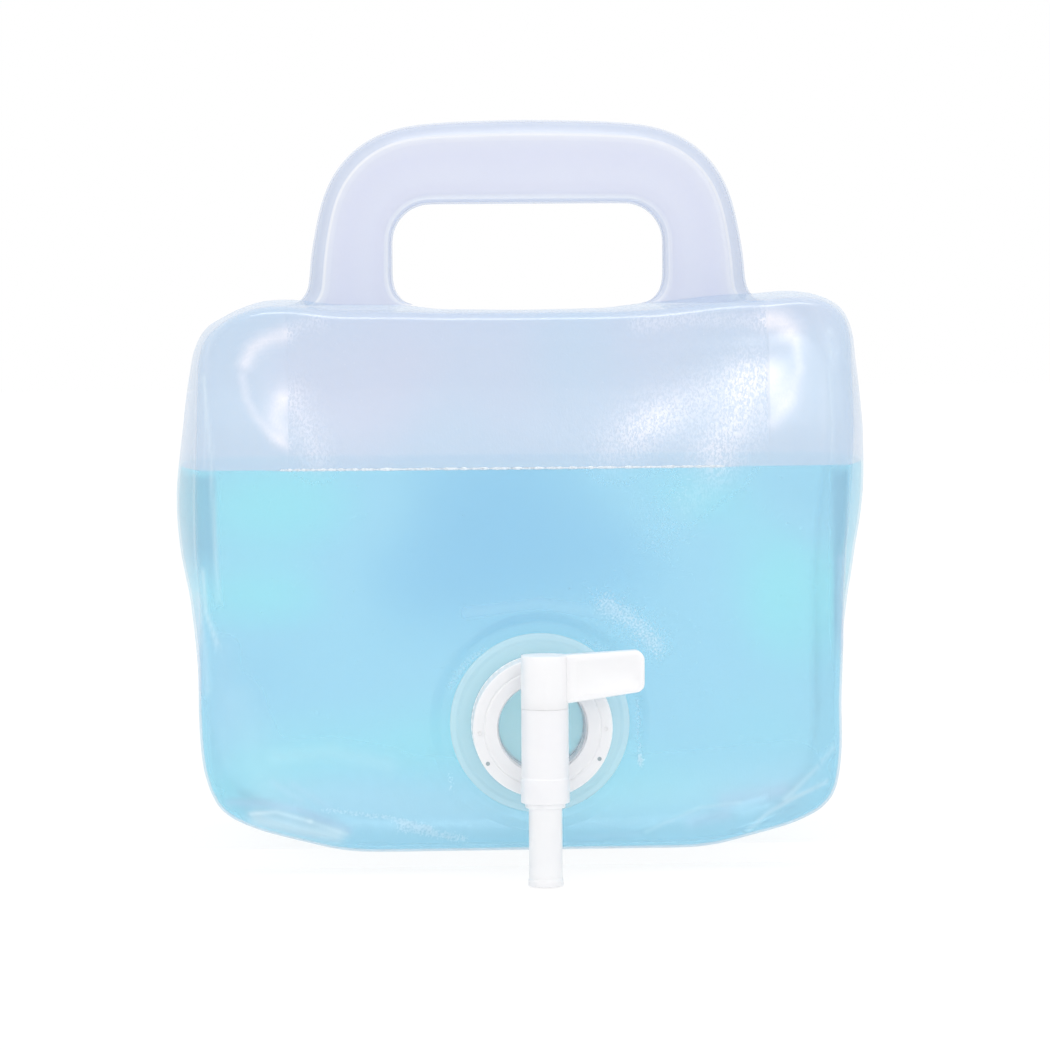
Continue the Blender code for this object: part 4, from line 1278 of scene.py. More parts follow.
    def _water(self) -> bpy.types.Object:
        """Builds the water, a little inside the film, with a flat top and a plug in the neck.

        Returns:
            The piece.
        """
        mesh = self.form.skin(plugged=True)
        points = vertex_rows(mesh.vertices, "co") - vertex_rows(mesh.vertex_normals, "vector") * self.film_to_water
        mesh.vertices.foreach_set("co", points.ravel())
        mesh.update()
        shape = reopened(mesh)
        self._cut_at_level(shape, keep_above=False)
        rim = [edge for edge in shape.edges if edge.is_boundary]
        for face in bmesh.ops.contextual_create(shape, geom=rim)["faces"]:
            face.material_index = 1
        piece = add_piece("water", shape, "bag", "water", self.water.make(), self.surface.make(), sharp_degrees=40.0)
        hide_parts("water_fill")
        return piece

    def _bead(self) -> bpy.types.Object:
        """Builds the bright bead, bubbles and a painted glint, that clings to the film along the water's edge.

        Returns:
            The piece.
        """
        cut = reopened(self.form.skin())
        found = self._cut_at_level(cut, keep_above=True)
        loop = self._in_order([item for item in found["geom_cut"] if isinstance(item, bmesh.types.BMEdge)])
        cut.free()
        low, high = self.bead_span
        front = loop[(loop[:, 1] < -20.0 * MM) & (loop[:, 0] > low) & (loop[:, 0] < high)]
        front = front[np.argsort(front[:, 0])]
        inwards = loop.mean(axis=0) - front
        inwards /= np.linalg.norm(inwards, axis=1)[:, None]
        shape = bmesh.new()
        rings = []
        for index, (point, inward) in enumerate(zip(front, inwards)):
            # The bead swells and thins along its way and tapers off at both ends
            share = index / (len(front) - 1)
            swell = self.bead_waviness * math.sin(index * 1.7) * math.sin(index * 0.43 + 1.0)
            radius = self.bead_radius * (1.0 + swell)
            radius *= 0.15 + 0.85 * min(1.0, 12.0 * share, 12.0 * (1.0 - share))
            ring = []
            for step in range(self.bead_sides):
                turn = math.tau * step / self.bead_sides
                lift = np.array(UP) * (radius * math.sin(turn))
                ring.append(shape.verts.new(point + inward * (self.bead_inset + radius * math.cos(turn)) + lift))
            rings.append(ring)
        bridge(shape, rings, capped=True)
        return add_piece("water_line_bubbles_and_glint", shape, "bag", "water", self.froth_and_glint.make())

    def _in_order(self, edges: list[bmesh.types.BMEdge]) -> np.ndarray:
        """Walks round a closed loop of edges.

        Args:
            edges: The edges in any order.

        Returns:
            Their points, one after another.
        """
        linked: dict[Any, list[Any]] = {}
        for edge in edges:
            first, second = edge.verts
            linked.setdefault(first, []).append(second)
            linked.setdefault(second, []).append(first)
        start = next(iter(linked))
        path, before, current = [start], None, start
        while True:
            onward = [vertex for vertex in linked[current] if vertex is not before]
            before, current = current, onward[0]
            if current is start:
                return np.array([vertex.co for vertex in path])
            path.append(current)


# The handle


@dataclass
class CarryHandle:
    """The hollow loop over the seam, with a flat face, two slopes beside it and the mould's parting line."""

    wall: MouldedWall
    edge: MouldedWall
    root_height: float = 194.2 * MM
    flare_height: float = 9.8 * MM
    flare: float = 8.0 * MM
    hole_half_width: float = 50.0 * MM
    hole_top: float = 231.4 * MM
    hole_corner: float = 14.6 * MM
    half_width: float = 79.0 * MM
    narrowing: float = 2.8 * MM
    top: float = 260.6 * MM
    arch: float = 1.2 * MM
    corner: float = 36.8 * MM
    thickness: float = 14.0 * MM
    flash_width: float = 0.5 * MM
    flash_height: float = 0.7 * MM
    leg_steps: int = 5
    corner_steps: int = 10
    bar_steps: int = 5
    easings: int = 4
    root_shares: tuple[float, ...] = (0.00, 0.08, 0.20, 0.40, 0.65, 1.00)
    # Share of the way from the hole outwards, and share of half the thickness there
    section_shares: tuple[Point, ...] = (
        (0.000, 0.10), (0.000, 0.54), (0.020, 0.74), (0.060, 0.90), (0.110, 0.985), (0.150, 1.00),
        (0.480, 1.00), (0.810, 1.00), (0.850, 0.975), (0.905, 0.76), (0.960, 0.52), (0.990, 0.34), (1.000, 0.10),
    )
    # Section of the parting line, as shares of its height and half its width
    flash_shares: tuple[Point, ...] = ((-0.6, 1.0), (0.5, 1.0), (1.0, 0.4), (1.0, -0.4), (0.5, -1.0), (-0.6, -1.0))

    def build(self) -> list[bpy.types.Object]:
        """Builds the loop and its parting line.

        Returns:
            The two pieces.
        """
        inner, outer = self._paths()
        shape = bmesh.new()
        shape.verts.layers.float.new(Layer.ACROSS.value)
        bridge(shape, [self._section(shape, near, far) for near, far in zip(inner, outer)])
        bmesh.ops.recalc_face_normals(shape, faces=shape.faces)
        smooth = reopened(subdivided(shape))
        loop = add_piece("handle_loop", smooth, "bag", "handle", self.wall.make(), sharp_degrees=180.0)
        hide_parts("handle")
        smooth = reopened(subdivided(self._flash(inner, outer)))
        return [loop, add_piece("handle_parting_line", smooth, "bag", "handle", self.edge.make())]

    def _arc(self, centre: float, height: float, radius: float) -> list[Point]:
        """A quarter circle from straight right to straight up, without its first point."""
        turns = [0.5 * math.pi * step / self.corner_steps for step in range(1, self.corner_steps + 1)]
        return [(centre + radius * math.cos(turn), height + radius * math.sin(turn)) for turn in turns]

    def _paths(self) -> tuple[np.ndarray, np.ndarray]:
        """The two outlines of the loop, from one root to the other.

        Returns:
            The inner and the outer outline in X and Z.
        """
        inner_shoulder = self.hole_top - self.hole_corner
        outer_shoulder = self.top - self.arch - self.corner
        root_top = self.root_height + self.flare_height
        inner, outer = [], []
        for step in self.root_shares:
            height = self.root_height + self.flare_height * step
            flare = self.flare * (1.0 - math.sqrt(1.0 - (1.0 - step) ** 2))
            inner.append((self.hole_half_width - flare, height))
            outer.append((self.half_width + flare, height))
        for step in range(1, self.leg_steps + 1):
            share = step / self.leg_steps
            inner.append((self.hole_half_width, root_top + (inner_shoulder - root_top) * share))
            lean = self.narrowing * share**2
            outer.append((self.half_width - lean, root_top + (outer_shoulder - root_top) * share))
        inner_start = self.hole_half_width - self.hole_corner
        outer_start = self.half_width - self.narrowing - self.corner
        inner += self._arc(inner_start, inner_shoulder, self.hole_corner)
        outer += self._arc(outer_start, outer_shoulder, self.corner)
        for step in range(1, self.bar_steps + 1):
            share = step / self.bar_steps
            inner.append((inner_start * (1.0 - share), self.hole_top))
            outer.append((outer_start * (1.0 - share), self.top - self.arch * (1.0 - share) ** 2))
        near, far = np.array(inner), np.array(outer)
        first = len(self.root_shares)
        for _ in range(self.easings):
            far[first:-1] = 0.5 * far[first:-1] + 0.25 * (far[first - 1:-2] + far[first + 1:])
        mirrored = (-1.0, 1.0)
        return np.vstack([near, near[-2::-1] * mirrored]), np.vstack([far, far[-2::-1] * mirrored])

    def _section(self, shape: bmesh.types.BMesh, near: np.ndarray, far: np.ndarray) -> list[Any]:
        """Adds one section of the loop, from the hole outwards on the front and back again behind.

        Args:
            shape: The loop's cage.
            near: The section's place on the inner outline.
            far: Its place on the outer outline.

        Returns:
            The section's vertices.
        """
        half = 0.5 * self.thickness
        rows = [(across, half * depth) for across, depth in self.section_shares]
        rows += [(across, -depth) for across, depth in reversed(rows)]
        layer = shape.verts.layers.float[Layer.ACROSS.value]
        ring = []
        for across, depth in rows:
            x, z = near + (far - near) * across
            vertex = shape.verts.new((x, -depth, z))
            vertex[layer] = across
            ring.append(vertex)
        return ring

    def _flash(self, inner: np.ndarray, outer: np.ndarray) -> bmesh.types.BMesh:
        """The thin raised line that the mould's halves leave round both edges of the loop.

        Args:
            inner: The loop's inner outline.
            outer: Its outer outline.

        Returns:
            The line's cage.
        """
        shape = bmesh.new()
        half = 0.5 * self.flash_width
        for path, away in ((outer, inner), (inner, outer)):
            out = path - away
            out /= np.linalg.norm(out, axis=1)[:, None]
            rings = []
            for (x, z), (across, up) in zip(path, out):
                steps = [(reach * self.flash_height, depth * half) for reach, depth in self.flash_shares]
                rings.append([shape.verts.new((x + across * step, depth, z + up * step)) for step, depth in steps])
            bridge(shape, rings, capped=True)
        return shape


# Neck, collar and tap


@dataclass(frozen=True)
class ThreadForm:
    """A right-hand thread on the neck or in the collar."""

    low: float
    high: float
    pitch: float = 4.0 * MM
    height: float = 1.5 * MM
    fade: float = 1.0 * MM
    foot_share: float = 0.25
    slope_share: float = 0.15
    offset_share: float = 0.0
    side: int = 1
    rows_per_pitch: int = 12

    def relief(self, angle: float, height: float) -> float:
        """How far the ridge stands out.

        Args:
            angle: Angle round the axis.
            height: Height along it.

        Returns:
            What it adds to the radius.
        """
        place = (height / self.pitch - angle / math.tau + self.offset_share) % 1.0
        away = min(place, 1.0 - place)
        ridge = min(max((self.foot_share - away) / self.slope_share, 0.0), 1.0)
        ends = min(max(min(height - self.low, self.high - height) / self.fade, 0.0), 1.0)
        return self.side * self.height * ridge * ends

    def rows(self, radius: float) -> Profile:
        """Rows of the threaded wall, from low to high."""
        count = math.ceil((self.high - self.low) / self.pitch * self.rows_per_pitch)
        return [(radius, self.low + (self.high - self.low) * row / count) for row in range(count + 1)]


@dataclass
class ScrewNeck:
    """The boss and the threaded tube, moulded in one with the bag's front."""

    wall: MouldedWall
    bore: float = 17.0 * MM
    tube: float = 19.4 * MM
    boss: float = 31.9 * MM
    back: float = 59.2 * MM
    boss_out: float = 61.5 * MM
    rim_out: float = 73.0 * MM
    edge: float = 0.7 * MM
    step: float = 0.4 * MM
    bead_in: Point = (2.2 * MM, 3.2 * MM)
    thread_low: float = 64.4 * MM
    steps: int = 144

    def build(self) -> bpy.types.Object:
        """Builds the neck.

        Returns:
            The piece.
        """
        thread = ThreadForm(self.thread_low, self.rim_out - 0.6 * MM)
        corners = [
            (self.bore, self.back),
            (self.boss - self.step, self.back),
            (self.boss, self.back + self.step),
            (self.boss, self.boss_out),
            (self.boss - self.bead_in[0], self.boss_out + 0.1 * MM),
            (self.boss - self.bead_in[1], self.boss_out - self.step),
            (self.tube + 2.0 * MM, self.boss_out - self.step),
            (self.tube, self.boss_out + 1.2 * MM),
            (self.tube, self.thread_low),
        ]
        profile = softened(corners, self.edge) + thread.rows(self.tube)[1:]
        profile += [(self.tube - 0.6 * MM, self.rim_out), (self.bore, self.rim_out)]
        shape = turned(profile, self.steps, TurnAxis.OUT, relief=thread.relief)
        piece = add_piece("screw_neck", shape, "front", "neck", self.wall.make(), sharp_degrees=50.0)
        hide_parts("threaded_neck")
        return piece


@dataclass
class ClosureCollar:
    """The white screw collar: ribbed skirt, flat lip with a groove, and the mould's round marks, left blank."""

    finish: WhiteMoulding
    pit_shade_finish: WhiteMoulding
    hole: float = 15.8 * MM
    outer: float = 24.5 * MM
    bore: float = 21.3 * MM
    face_out: float = 79.0 * MM
    foot_out: float = 64.0 * MM
    lip_out: float = 77.2 * MM
    edge: float = 0.5 * MM
    groove: float = 20.4 * MM
    groove_half: float = 0.45 * MM
    groove_depth: float = 0.35 * MM
    rib_count: int = 60
    rib_depth: float = 0.35 * MM
    rib_inset: float = 1.7 * MM
    rib_row: float = 0.4 * MM
    thread: ThreadForm = ThreadForm(65.2 * MM, 72.4 * MM, offset_share=0.5, side=-1)
    steps: int = 240
    # X and height over the neck's axis of each mark, in millimetres
    pin_radius: float = 0.95 * MM
    pin_places: tuple[Point, ...] = ((-22.0, -1.4), (22.1, -0.4))
    pit_radius: float = 0.75 * MM
    pit_places: tuple[Point, ...] = ((-19.3, -12.2), (19.8, -11.0))
    mark_steps: int = 20

    def build(self) -> list[bpy.types.Object]:
        """Builds the collar and its moulding marks.

        Returns:
            The pieces.
        """
        corners = [
            (self.hole, self.lip_out),
            (self.hole, self.face_out),
            (self.groove - self.groove_half, self.face_out),
            (self.groove, self.face_out - self.groove_depth),
            (self.groove + self.groove_half, self.face_out),
            (self.outer, self.face_out),
            (self.outer, self.face_out - self.rib_inset),
            (self.outer, self.face_out - self.rib_inset - self.rib_row),
            (self.outer, self.foot_out + self.rib_inset + self.rib_row),
            (self.outer, self.foot_out + self.rib_inset),
            (self.outer, self.foot_out),
            (self.bore, self.foot_out),
        ]
        profile = softened(corners, self.edge) + self.thread.rows(self.bore) + [(self.bore, self.lip_out)]
        shape = turned(profile, self.steps, TurnAxis.OUT)
        self._shape_walls(shape)
        white = self.finish.make()
        collar = add_piece("closure_collar", shape, "collar", "collar", white, sharp_degrees=50.0)
        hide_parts("collar")
        pieces = [collar]
        for name, places, radius, ring, cup, finish in (
            ("collar_pin_marks", self.pin_places, self.pin_radius, 0.14 * MM, -0.05 * MM, white),
            # The gate pits' grey is painted shade
            ("collar_gate_pits", self.pit_places, self.pit_radius, 0.05 * MM, 0.02 * MM, self.pit_shade_finish.make()),
        ):
            marks = self._marks(places, radius, ring, cup)
            pieces.append(add_piece(name, marks, "collar", "collar", finish, sharp_degrees=40.0))
        return pieces

    def _shape_walls(self, shape: bmesh.types.BMesh) -> None:
        """Moves the skirt's wall in between the ribs, and the bore's wall in at the thread.

        Args:
            shape: The turned collar.
        """
        low, high = self.foot_out + self.rib_inset, self.face_out - self.rib_inset
        rim = 0.2 * MM
        for vertex in shape.verts:
            x, y, z = vertex.co
            up = z - NECK_HEIGHT
            radius, height = math.hypot(x, up), -y
            angle = math.atan2(up, x)
            if radius > self.outer - 0.1 * MM and low + rim < height < high - rim:
                change = -self.rib_depth * 0.5 * (1.0 - math.cos(self.rib_count * angle))
            elif abs(radius - self.bore) < 0.01 * MM and self.thread.low < height < self.thread.high:
                change = self.thread.relief(angle % math.tau, height)
            else:
                continue
            scale = (radius + change) / radius
            vertex.co = (x * scale, y, NECK_HEIGHT + up * scale)

    def _marks(self, places: Sequence[Point], radius: float, ring: float, cup: float) -> bmesh.types.BMesh:
        """Round marks on the collar's face, each a low ring about a shallow cup.

        Args:
            places: X and height over the neck's axis of each mark, in millimetres.
            radius: Radius of a mark.
            ring: How far its ring stands out.
            cup: How far its cup's floor stands out.

        Returns:
            The marks as one shape.
        """
        corners = [(radius, -0.3 * MM), (radius, ring), (0.6 * radius, ring), (0.5 * radius, cup), (0.0, cup)]
        profile = softened(corners, 0.1 * MM, 2)
        whole = bmesh.new()
        for across, up in places:
            centre = (across * MM, -self.face_out, NECK_HEIGHT + up * MM)
            mark = turned(profile, self.mark_steps, TurnAxis.OUT, centre, closed=False)
            mesh = bpy.data.meshes.new("mark")
            mark.to_mesh(mesh)
            mark.free()
            whole.from_mesh(mesh)
            bpy.data.meshes.remove(mesh)
        return whole


@dataclass
class TapBody:
    """The tap's fixed half: a cup behind the collar, a thin disc, an inlet tube and an upright barrel."""

    finish: WhiteMoulding
    disc_wall: MouldedWall
    flange: float = 19.0 * MM
    flange_back: float = 75.1 * MM
    flange_face: float = 76.9 * MM
    cup: float = 16.6 * MM
    cup_inner: float = 15.4 * MM
    disc_back: float = 65.0 * MM
    disc_front: float = 66.2 * MM
    inlet: float = 5.5 * MM
    inlet_bore: float = 3.5 * MM
    inlet_fillet: float = 1.4 * MM
    inlet_end: float = TAP_OUT - 5.6 * MM
    barrel: float = 8.2 * MM
    foot: float = 8.5 * MM
    bore: float = 6.6 * MM
    barrel_low: float = 22.4 * MM
    step_height: float = 31.0 * MM
    step_half: float = 0.2 * MM
    barrel_high: float = 55.07 * MM
    spigot: float = 7.25 * MM
    spigot_high: float = 56.95 * MM
    chamfer: float = 0.08 * MM
    steps: int = 96
    tube_steps: int = 48

    def build(self) -> list[bpy.types.Object]:
        """Builds cup, disc, inlet tube and barrel.

        Returns:
            The pieces.
        """
        white = self.finish.make()
        cup = [
            (self.cup_inner, self.disc_front),
            (self.cup_inner, self.flange_face),
            (self.flange, self.flange_face),
            (self.flange, self.flange_back),
            (self.cup, self.flange_back),
            (self.cup, self.disc_back),
            (self.cup_inner - 0.6 * MM, self.disc_back),
        ]
        disc = [
            (self.inlet_bore, self.disc_front),
            (self.cup_inner + 0.2 * MM, self.disc_front),
            (self.cup_inner + 0.2 * MM, self.disc_back + 0.1 * MM),
            (self.inlet_bore, self.disc_back + 0.1 * MM),
        ]
        tube = [
            (self.inlet_bore, self.disc_front - 0.4 * MM),
            (self.inlet + self.inlet_fillet, self.disc_front - 0.1 * MM),
            (self.inlet, self.disc_front + self.inlet_fillet),
            (self.inlet, self.inlet_end),
            (self.inlet_bore, self.inlet_end),
        ]
        barrel = [
            (self.bore, self.barrel_low),
            (self.foot, self.barrel_low),
            (self.foot, self.step_height - self.step_half),
            (self.barrel, self.step_height + self.step_half),
            (self.barrel, self.barrel_high - self.chamfer),
            (self.barrel - self.chamfer, self.barrel_high),
            (self.spigot, self.barrel_high),
            (self.spigot, self.spigot_high),
            (self.bore, self.spigot_high),
        ]
        upright = (TurnAxis.UP, (0.0, -TAP_OUT, 0.0))
        outwards = (TurnAxis.OUT, NECK_CENTRE)
        pieces = []
        for name, corners, edge, steps, axis, material in (
            ("tap_cup", cup, 0.4 * MM, self.steps, outwards, white),
            ("tap_disc", disc, 0.1 * MM, self.steps, outwards, self.disc_wall.make()),
            ("tap_inlet_tube", tube, 0.8 * MM, self.tube_steps, outwards, white),
            ("tap_barrel", barrel, 0.2 * MM, self.steps, upright, white),
        ):
            shape = turned(softened(corners, edge), steps, *axis)
            pieces.append(add_piece(name, shape, "tap", "tap", material, sharp_degrees=50.0))
        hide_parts("tap_body")
        return pieces


@dataclass
class TapKey:
    """The tap's turning half: a plug with its spout, a hub with a skirt and a lever with a sunk panel."""

    finish: WhiteMoulding
    mouth: float = -6.7 * MM
    lip_top: float = -4.5 * MM
    snap_low: float = 20.6 * MM
    snap_high: float = 22.3 * MM
    skirt: float = 7.35 * MM
    skirt_low: float = 55.10 * MM
    hub_low: float = 56.98 * MM
    hub_high: float = 73.5 * MM
    spout: float = 5.8 * MM
    spout_lip: float = 6.1 * MM
    spout_bore: float = 3.9 * MM
    bore_top: float = 59.0 * MM
    snap: float = 7.0 * MM
    plug: float = 6.1 * MM
    hub: float = 8.2 * MM
    edge: float = 0.3 * MM
    chamfer: float = 0.08 * MM
    reach: float = 34.5 * MM
    thickness: float = 7.0 * MM
    root_low: float = 57.07 * MM
    rise: float = 1.4 * MM
    end_height: float = 14.5 * MM
    end_corner: float = 3.2 * MM
    corner_steps: int = 8
    beside: float = 8.7 * MM
    rim: float = 2.0 * MM
    recess: float = 0.22 * MM
    recess_slope: float = 0.35 * MM
    lever_edge: float = 0.7 * MM
    steps: int = 96

    def build(self) -> list[bpy.types.Object]:
        """Builds the turned plug with hub and spout, and the lever.

        Returns:
            The two pieces.
        """
        white = self.finish.make()
        corners = [
            (0.0, self.bore_top),
            (self.spout_bore, self.bore_top),
            (self.spout_bore, self.mouth),
            (self.spout_lip, self.mouth),
            (self.spout_lip, self.lip_top),
            (self.spout, self.lip_top + 0.4 * MM),
            (self.spout, self.snap_low),
            (self.snap, self.snap_low),
            (self.snap, self.snap_high),
            (self.plug, self.snap_high),
            (self.plug, self.hub_low),
            (self.skirt, self.hub_low),
            (self.skirt, self.skirt_low),
            (self.hub - self.chamfer, self.skirt_low),
            (self.hub, self.skirt_low + self.chamfer),
            (self.hub, self.hub_high),
            (0.0, self.hub_high),
        ]
        centre = (0.0, -TAP_OUT, 0.0)
        shape = turned(softened(corners, self.edge), self.steps, TurnAxis.UP, centre, closed=False)
        key = add_piece("tap_plug_and_spout", shape, "key", "key", white, sharp_degrees=50.0)
        lever = add_piece("tap_lever", self._lever(), "key", "key", white, sharp_degrees=35.0)
        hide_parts("tap_key")
        return [key, lever]

    def _outline(self, margin: float) -> list[Point]:
        """The lever's outline, or that of its sunk panel.

        Args:
            margin: How far inside the lever's outline it lies, and 0 for the lever's own.

        Returns:
            Its points in X and Z.
        """
        top = self.hub_high + self.rise
        foot = top - self.end_height
        corner = self.end_corner - 0.5 * margin
        tip = self.reach - margin
        points = []
        for height, start in ((foot + margin + corner, -0.5 * math.pi), (top - margin - corner, 0.0)):
            for step in range(self.corner_steps + 1):
                turn = start + 0.5 * math.pi * step / self.corner_steps
                points.append((tip - corner + corner * math.cos(turn), height + corner * math.sin(turn)))
        if margin:
            start = self.beside + margin
            return points + [(start, self.hub_high - margin), (start, self.root_low + margin)]
        # The lever starts inside the hub
        root = 0.5 * self.hub
        return points + [(root, self.hub_high - 0.1 * MM), (root, self.root_low), (self.beside, self.root_low)]

    def _lever(self) -> bmesh.types.BMesh:
        """The lever as a slab with round edges and a shallow panel sunk in each face.

        Returns:
            The slab.
        """
        half = 0.5 * self.thickness
        shape = bmesh.new()
        outlines = [self._outline(margin) for margin in (0.0, self.rim, self.rim + self.recess_slope)]
        rims = []
        for side in (-1.0, 1.0):
            level, sunk = side * half - TAP_OUT, side * (half - self.recess) - TAP_OUT
            rim, lip, well = (
                [shape.verts.new((x, y, z)) for x, z in outline] for outline, y in zip(outlines, (level, level, sunk))
            )
            bridge(shape, [lip, well])
            shape.faces.new(well)
            face = [shape.edges.new((first, second)) for first, second in zip(rim, rim[1:] + rim[:1])]
            face += [edge for edge in shape.edges if edge.verts[0] in lip and edge.verts[1] in lip]
            bmesh.ops.triangle_fill(shape, use_beauty=True, edges=face)
            rims.append(rim)
        bridge(shape, rims)
        bmesh.ops.recalc_face_normals(shape, faces=shape.faces)
        outer = set(rims[0] + rims[1])
        sharp = [
            edge
            for edge in shape.edges
            if len(edge.link_faces) == 2 and edge.calc_face_angle() > 1.0 and edge.verts[0] in outer
        ]
        bmesh.ops.bevel(shape, geom=sharp, offset=self.lever_edge, segments=4, profile=0.5, affect="EDGES")
        return shape


# Stage, light and camera


def direction(azimuth: float, elevation: float) -> Vector:
    """The way from the aim to a lamp or to the camera.

    Args:
        azimuth: Degrees to the right of the front.
        elevation: Degrees over the horizon.

    Returns:
        A vector of length 1.
    """
    turn, rise = math.radians(azimuth), math.radians(elevation)
    return Vector((math.sin(turn) * math.cos(rise), -math.cos(turn) * math.cos(rise), math.sin(rise)))


@dataclass
class SoftLamp:
    """A round or oval soft box, aimed at a point."""

    name: str
    azimuth: float
    elevation: float
    distance: float
    size: Point
    radiance: float

    def build(self, aim: Vector) -> None:
        """Places the lamp.

        Args:
            aim: The point that it faces.
        """
        lamp = bpy.data.lights.new(self.name, "AREA")
        lamp.shape = "ELLIPSE"
        lamp.size, lamp.size_y = self.size
        # Power of an evenly bright oval
        lamp.energy = 0.25 * math.pi**2 * self.size[0] * self.size[1] * self.radiance
        back = direction(self.azimuth, self.elevation)
        item = bpy.data.objects.new(self.name, lamp)
        item.location = aim + back * self.distance
        item.rotation_euler = (-back).to_track_quat("-Z", "Y").to_euler()
        bpy.context.scene.collection.objects.link(item)


@dataclass
class Studio:
    """A white table whose edge leaves room for the hanging spout, plain soft light and the camera."""

    floor_reach: float = 6.0
    floor_height: float = -7.2 * MM
    table_edge: float = -36.0 * MM
    table_slope: float = 2.0 * MM
    table_height: float = -0.2 * MM
    world_light: float = 0.90
    paper_glow: float = 1.06
    shadow_share: float = 0.14
    camera_distance: float = 1562.0 * MM
    camera_azimuth: float = -3.0
    camera_roll: float = -0.4
    camera_elevation: float = 3.4
    camera_aim: tuple[float, float, float] = (-1.6 * MM, 0.0, 113.2 * MM)
    lens: float = 146.0
    lamps: tuple[SoftLamp, ...] = (
        SoftLamp("soft_box_right", 12.4, 16.0, 1.35, (0.13, 0.24), 7.0),
        SoftLamp("soft_box_left", -7.8, 15.5, 1.35, (0.08, 0.22), 5.0),
        SoftLamp("soft_box_above", 0.0, 80.0, 1.10, (0.80, 0.26), 6.0),
    )

    def build(self) -> None:
        """Builds floor, light and camera, and sets plain view colours."""
        bpy.context.scene.view_settings.view_transform = "Standard"
        self._floor()
        self._world()
        aim = Vector(self.camera_aim)
        for lamp in self.lamps:
            lamp.build(aim)
        self._camera(aim)
        LOG.info("studio: floor, %d lamps and camera", len(self.lamps))

    def _seen_directly(self, add: Adder) -> Socket:
        """1 for what the camera sees straight, mirrored or through clear material, and 0 for light."""
        rays = add("LightPath").node.outputs
        mirrored = add("Math", MAXIMUM, {0: rays["Is Glossy Ray"], 1: rays["Is Transmission Ray"]})
        return add("Math", MAXIMUM, {0: rays["Is Camera Ray"], 1: mirrored})

    def _floor(self) -> None:
        """The table and the lower floor in front of it, as one sheet."""
        # Matt white paper that glows for the camera, so that only a faint shadow of the carrier shows on it
        material, add, surface = new_surface("White_studio_paper")
        wire(surface, {"Base Color": linear("#F8F8F8"), "Roughness": 0.9, "Specular IOR Level": 0.1})
        glow = add("Emission", inputs={"Color": linear("#FFFFFF"), "Strength": self.paper_glow})
        share = add("Math", MULTIPLY, {0: self._seen_directly(add), 1: 1.0 - self.shadow_share})
        mixed = add("MixShader", inputs={0: share, 1: surface.outputs[0], 2: glow})
        wire(material.node_tree.nodes["Material Output"], {"Surface": mixed})
        far = self.floor_reach
        rows = (
            (-far, self.floor_height),
            (self.table_edge - self.table_slope, self.floor_height),
            (self.table_edge, self.table_height),
            (far, self.table_height),
        )
        shape = bmesh.new()
        bridge(shape, [[shape.verts.new((side, y, z)) for side in (-far, far)] for y, z in rows], closed=False)
        bmesh.ops.recalc_face_normals(shape, faces=shape.faces)
        mesh = bpy.data.meshes.new("studio_floor")
        shape.to_mesh(mesh)
        shape.free()
        mesh.materials.append(material)
        floor = bpy.data.objects.new("studio_floor", mesh)
        bpy.context.scene.collection.objects.link(floor)

    def _world(self) -> None:
        """An even white world, whose light on the object is weaker than what the camera sees of it."""
        world = bpy.data.worlds.new("white_room")
        world.use_nodes = True
        bpy.context.scene.world = world
        add = partial(add_node, world.node_tree)
        light = {"Value": self._seen_directly(add), "To Min": self.world_light, "To Max": 1.0}
        strength = add("MapRange", inputs=light)
        wire(world.node_tree.nodes["Background"], {"Color": linear("#FFFFFF"), "Strength": strength})

    def _camera(self, aim: Vector) -> None:
        """Places the camera, nearly square to the front and a little above it.

        Args:
            aim: The point in the middle of the picture.
        """
        back = direction(self.camera_azimuth, self.camera_elevation)
        camera = bpy.data.cameras.new("camera")
        camera.lens = self.lens
        camera.sensor_width = 36.0
        camera.clip_start, camera.clip_end = 0.01, 50.0
        item = bpy.data.objects.new("camera", camera)
        item.location = aim + back * self.camera_distance
        roll = Quaternion(UP, math.radians(self.camera_roll))
        item.rotation_euler = ((-back).to_track_quat("-Z", "Y") @ roll).to_euler()
        bpy.context.scene.collection.objects.link(item)
        bpy.context.scene.camera = item


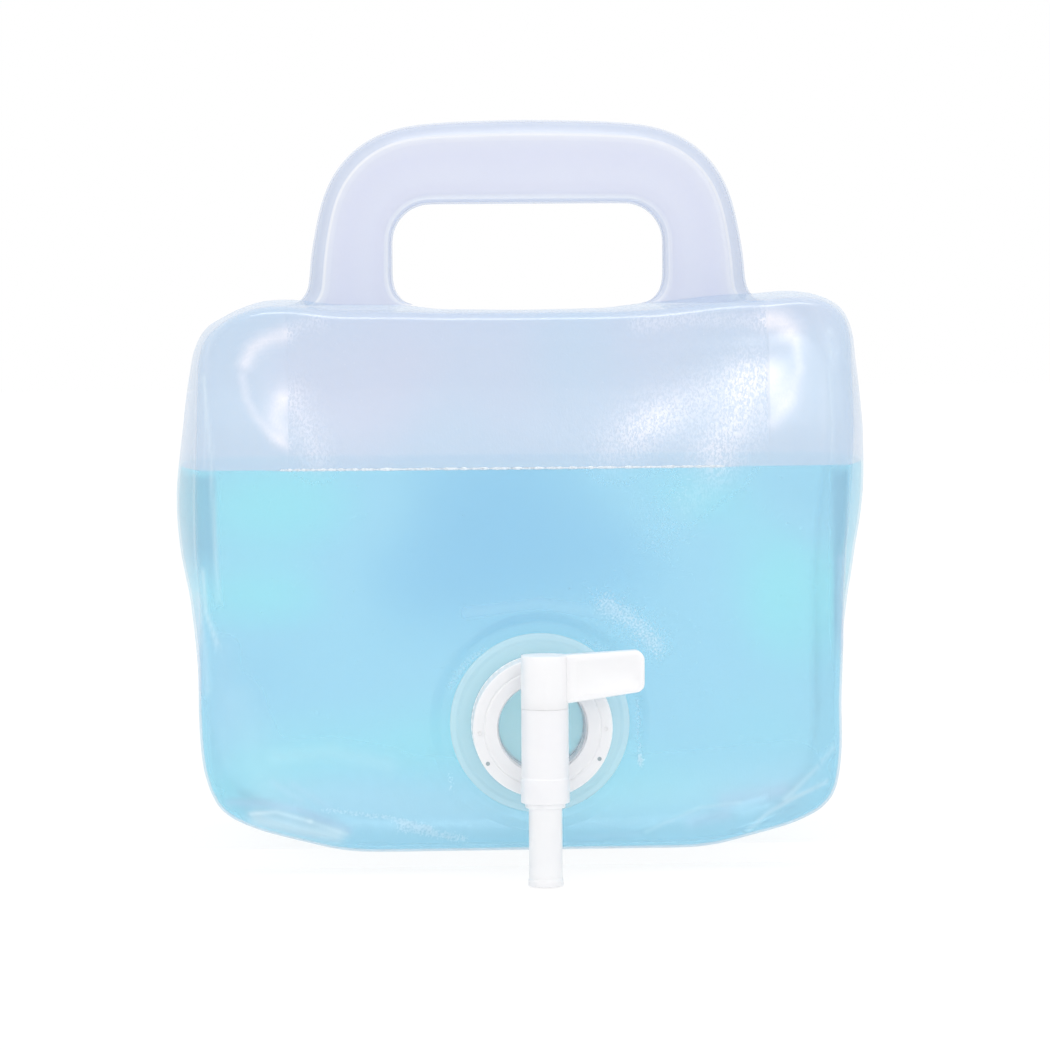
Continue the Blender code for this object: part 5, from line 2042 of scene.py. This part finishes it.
def main() -> None:
    """Loads the frame, builds each part of the carrier, the stage and the light."""
    logging.basicConfig(level=logging.INFO, format="%(message)s")
    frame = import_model()

    SoftBag(BagForm(), BagFilm(), BlueWater(), StillSurface(), WaterLineFrothAndGlint()).build()
    CarryHandle(
        MouldedWall(
            "Blow_moulded_low_density_polyethylene_handle", "#FFFFFF", "#F6F7FC", 0.45,
            # Across the loop: its own tint, painted highlight lines near the hole's edge and along the outer slope, and
            # painted shade towards both edges
            tint_and_painted_light_bands=(
                (0.00, "#D2DCF2"), (0.030, "#D4DDF2"), (0.050, "#F6F8FF"), (0.072, "#EAEEFA"), (0.11, "#D9DEF4"),
                (0.30, "#DCE1F6"), (0.60, "#D9DEF5"), (0.800, "#DCE1F5"), (0.824, "#E6EAF8"), (0.836, "#FFFFFF"),
                (0.848, "#F6F8FF"), (0.864, "#D0DBEF"), (0.955, "#C3D0E8"), (1.00, "#D0DCEE"),
            ),
        ),
        MouldedWall("Parting_line_of_low_density_polyethylene", "#E6ECF8", "#DCE5F4", 0.35),
    ).build()
    ScrewNeck(MouldedWall("Clear_low_density_polyethylene_neck", "#E0F8FF", "#E8FAFF", 0.42, 0.22)).build()
    ClosureCollar(
        WhiteMoulding("Injection_moulded_polyethylene_collar"),
        # Grey finish for the gate pits: painted shade
        WhiteMoulding("Painted_shade_in_gate_pits", "#B0BCC2", "#A4B2B8"),
    ).build()
    TapBody(
        WhiteMoulding("Injection_moulded_polyethylene_tap", "#FDFCFE", "#F7F6FB"),
        MouldedWall("Thin_moulded_polyethylene_disc", "#FFFFFF", "#FAFFFF", 0.30, 0.30),
    ).build()
    TapKey(WhiteMoulding("Injection_moulded_polyethylene_key", "#FFFEFF", "#FAF9FC")).build()

    gasket = MouldedRubber("Compression_moulded_silicone_gasket", "#A8A8A8", "#B8B8BA").make()
    seal = MouldedRubber("Compression_moulded_nitrile_seal", "#1E1E1F", "#39393B").make()
    for node, rubber in (("flange_gasket", gasket), ("o_ring_upper", seal), ("o_ring_lower", seal)):
        frame["nodes"][node].material_slots[0].material = rubber
        LOG.info("%s: packed shape with new rubber", node)

    Studio().build()


if __name__ == "__main__":
    main()
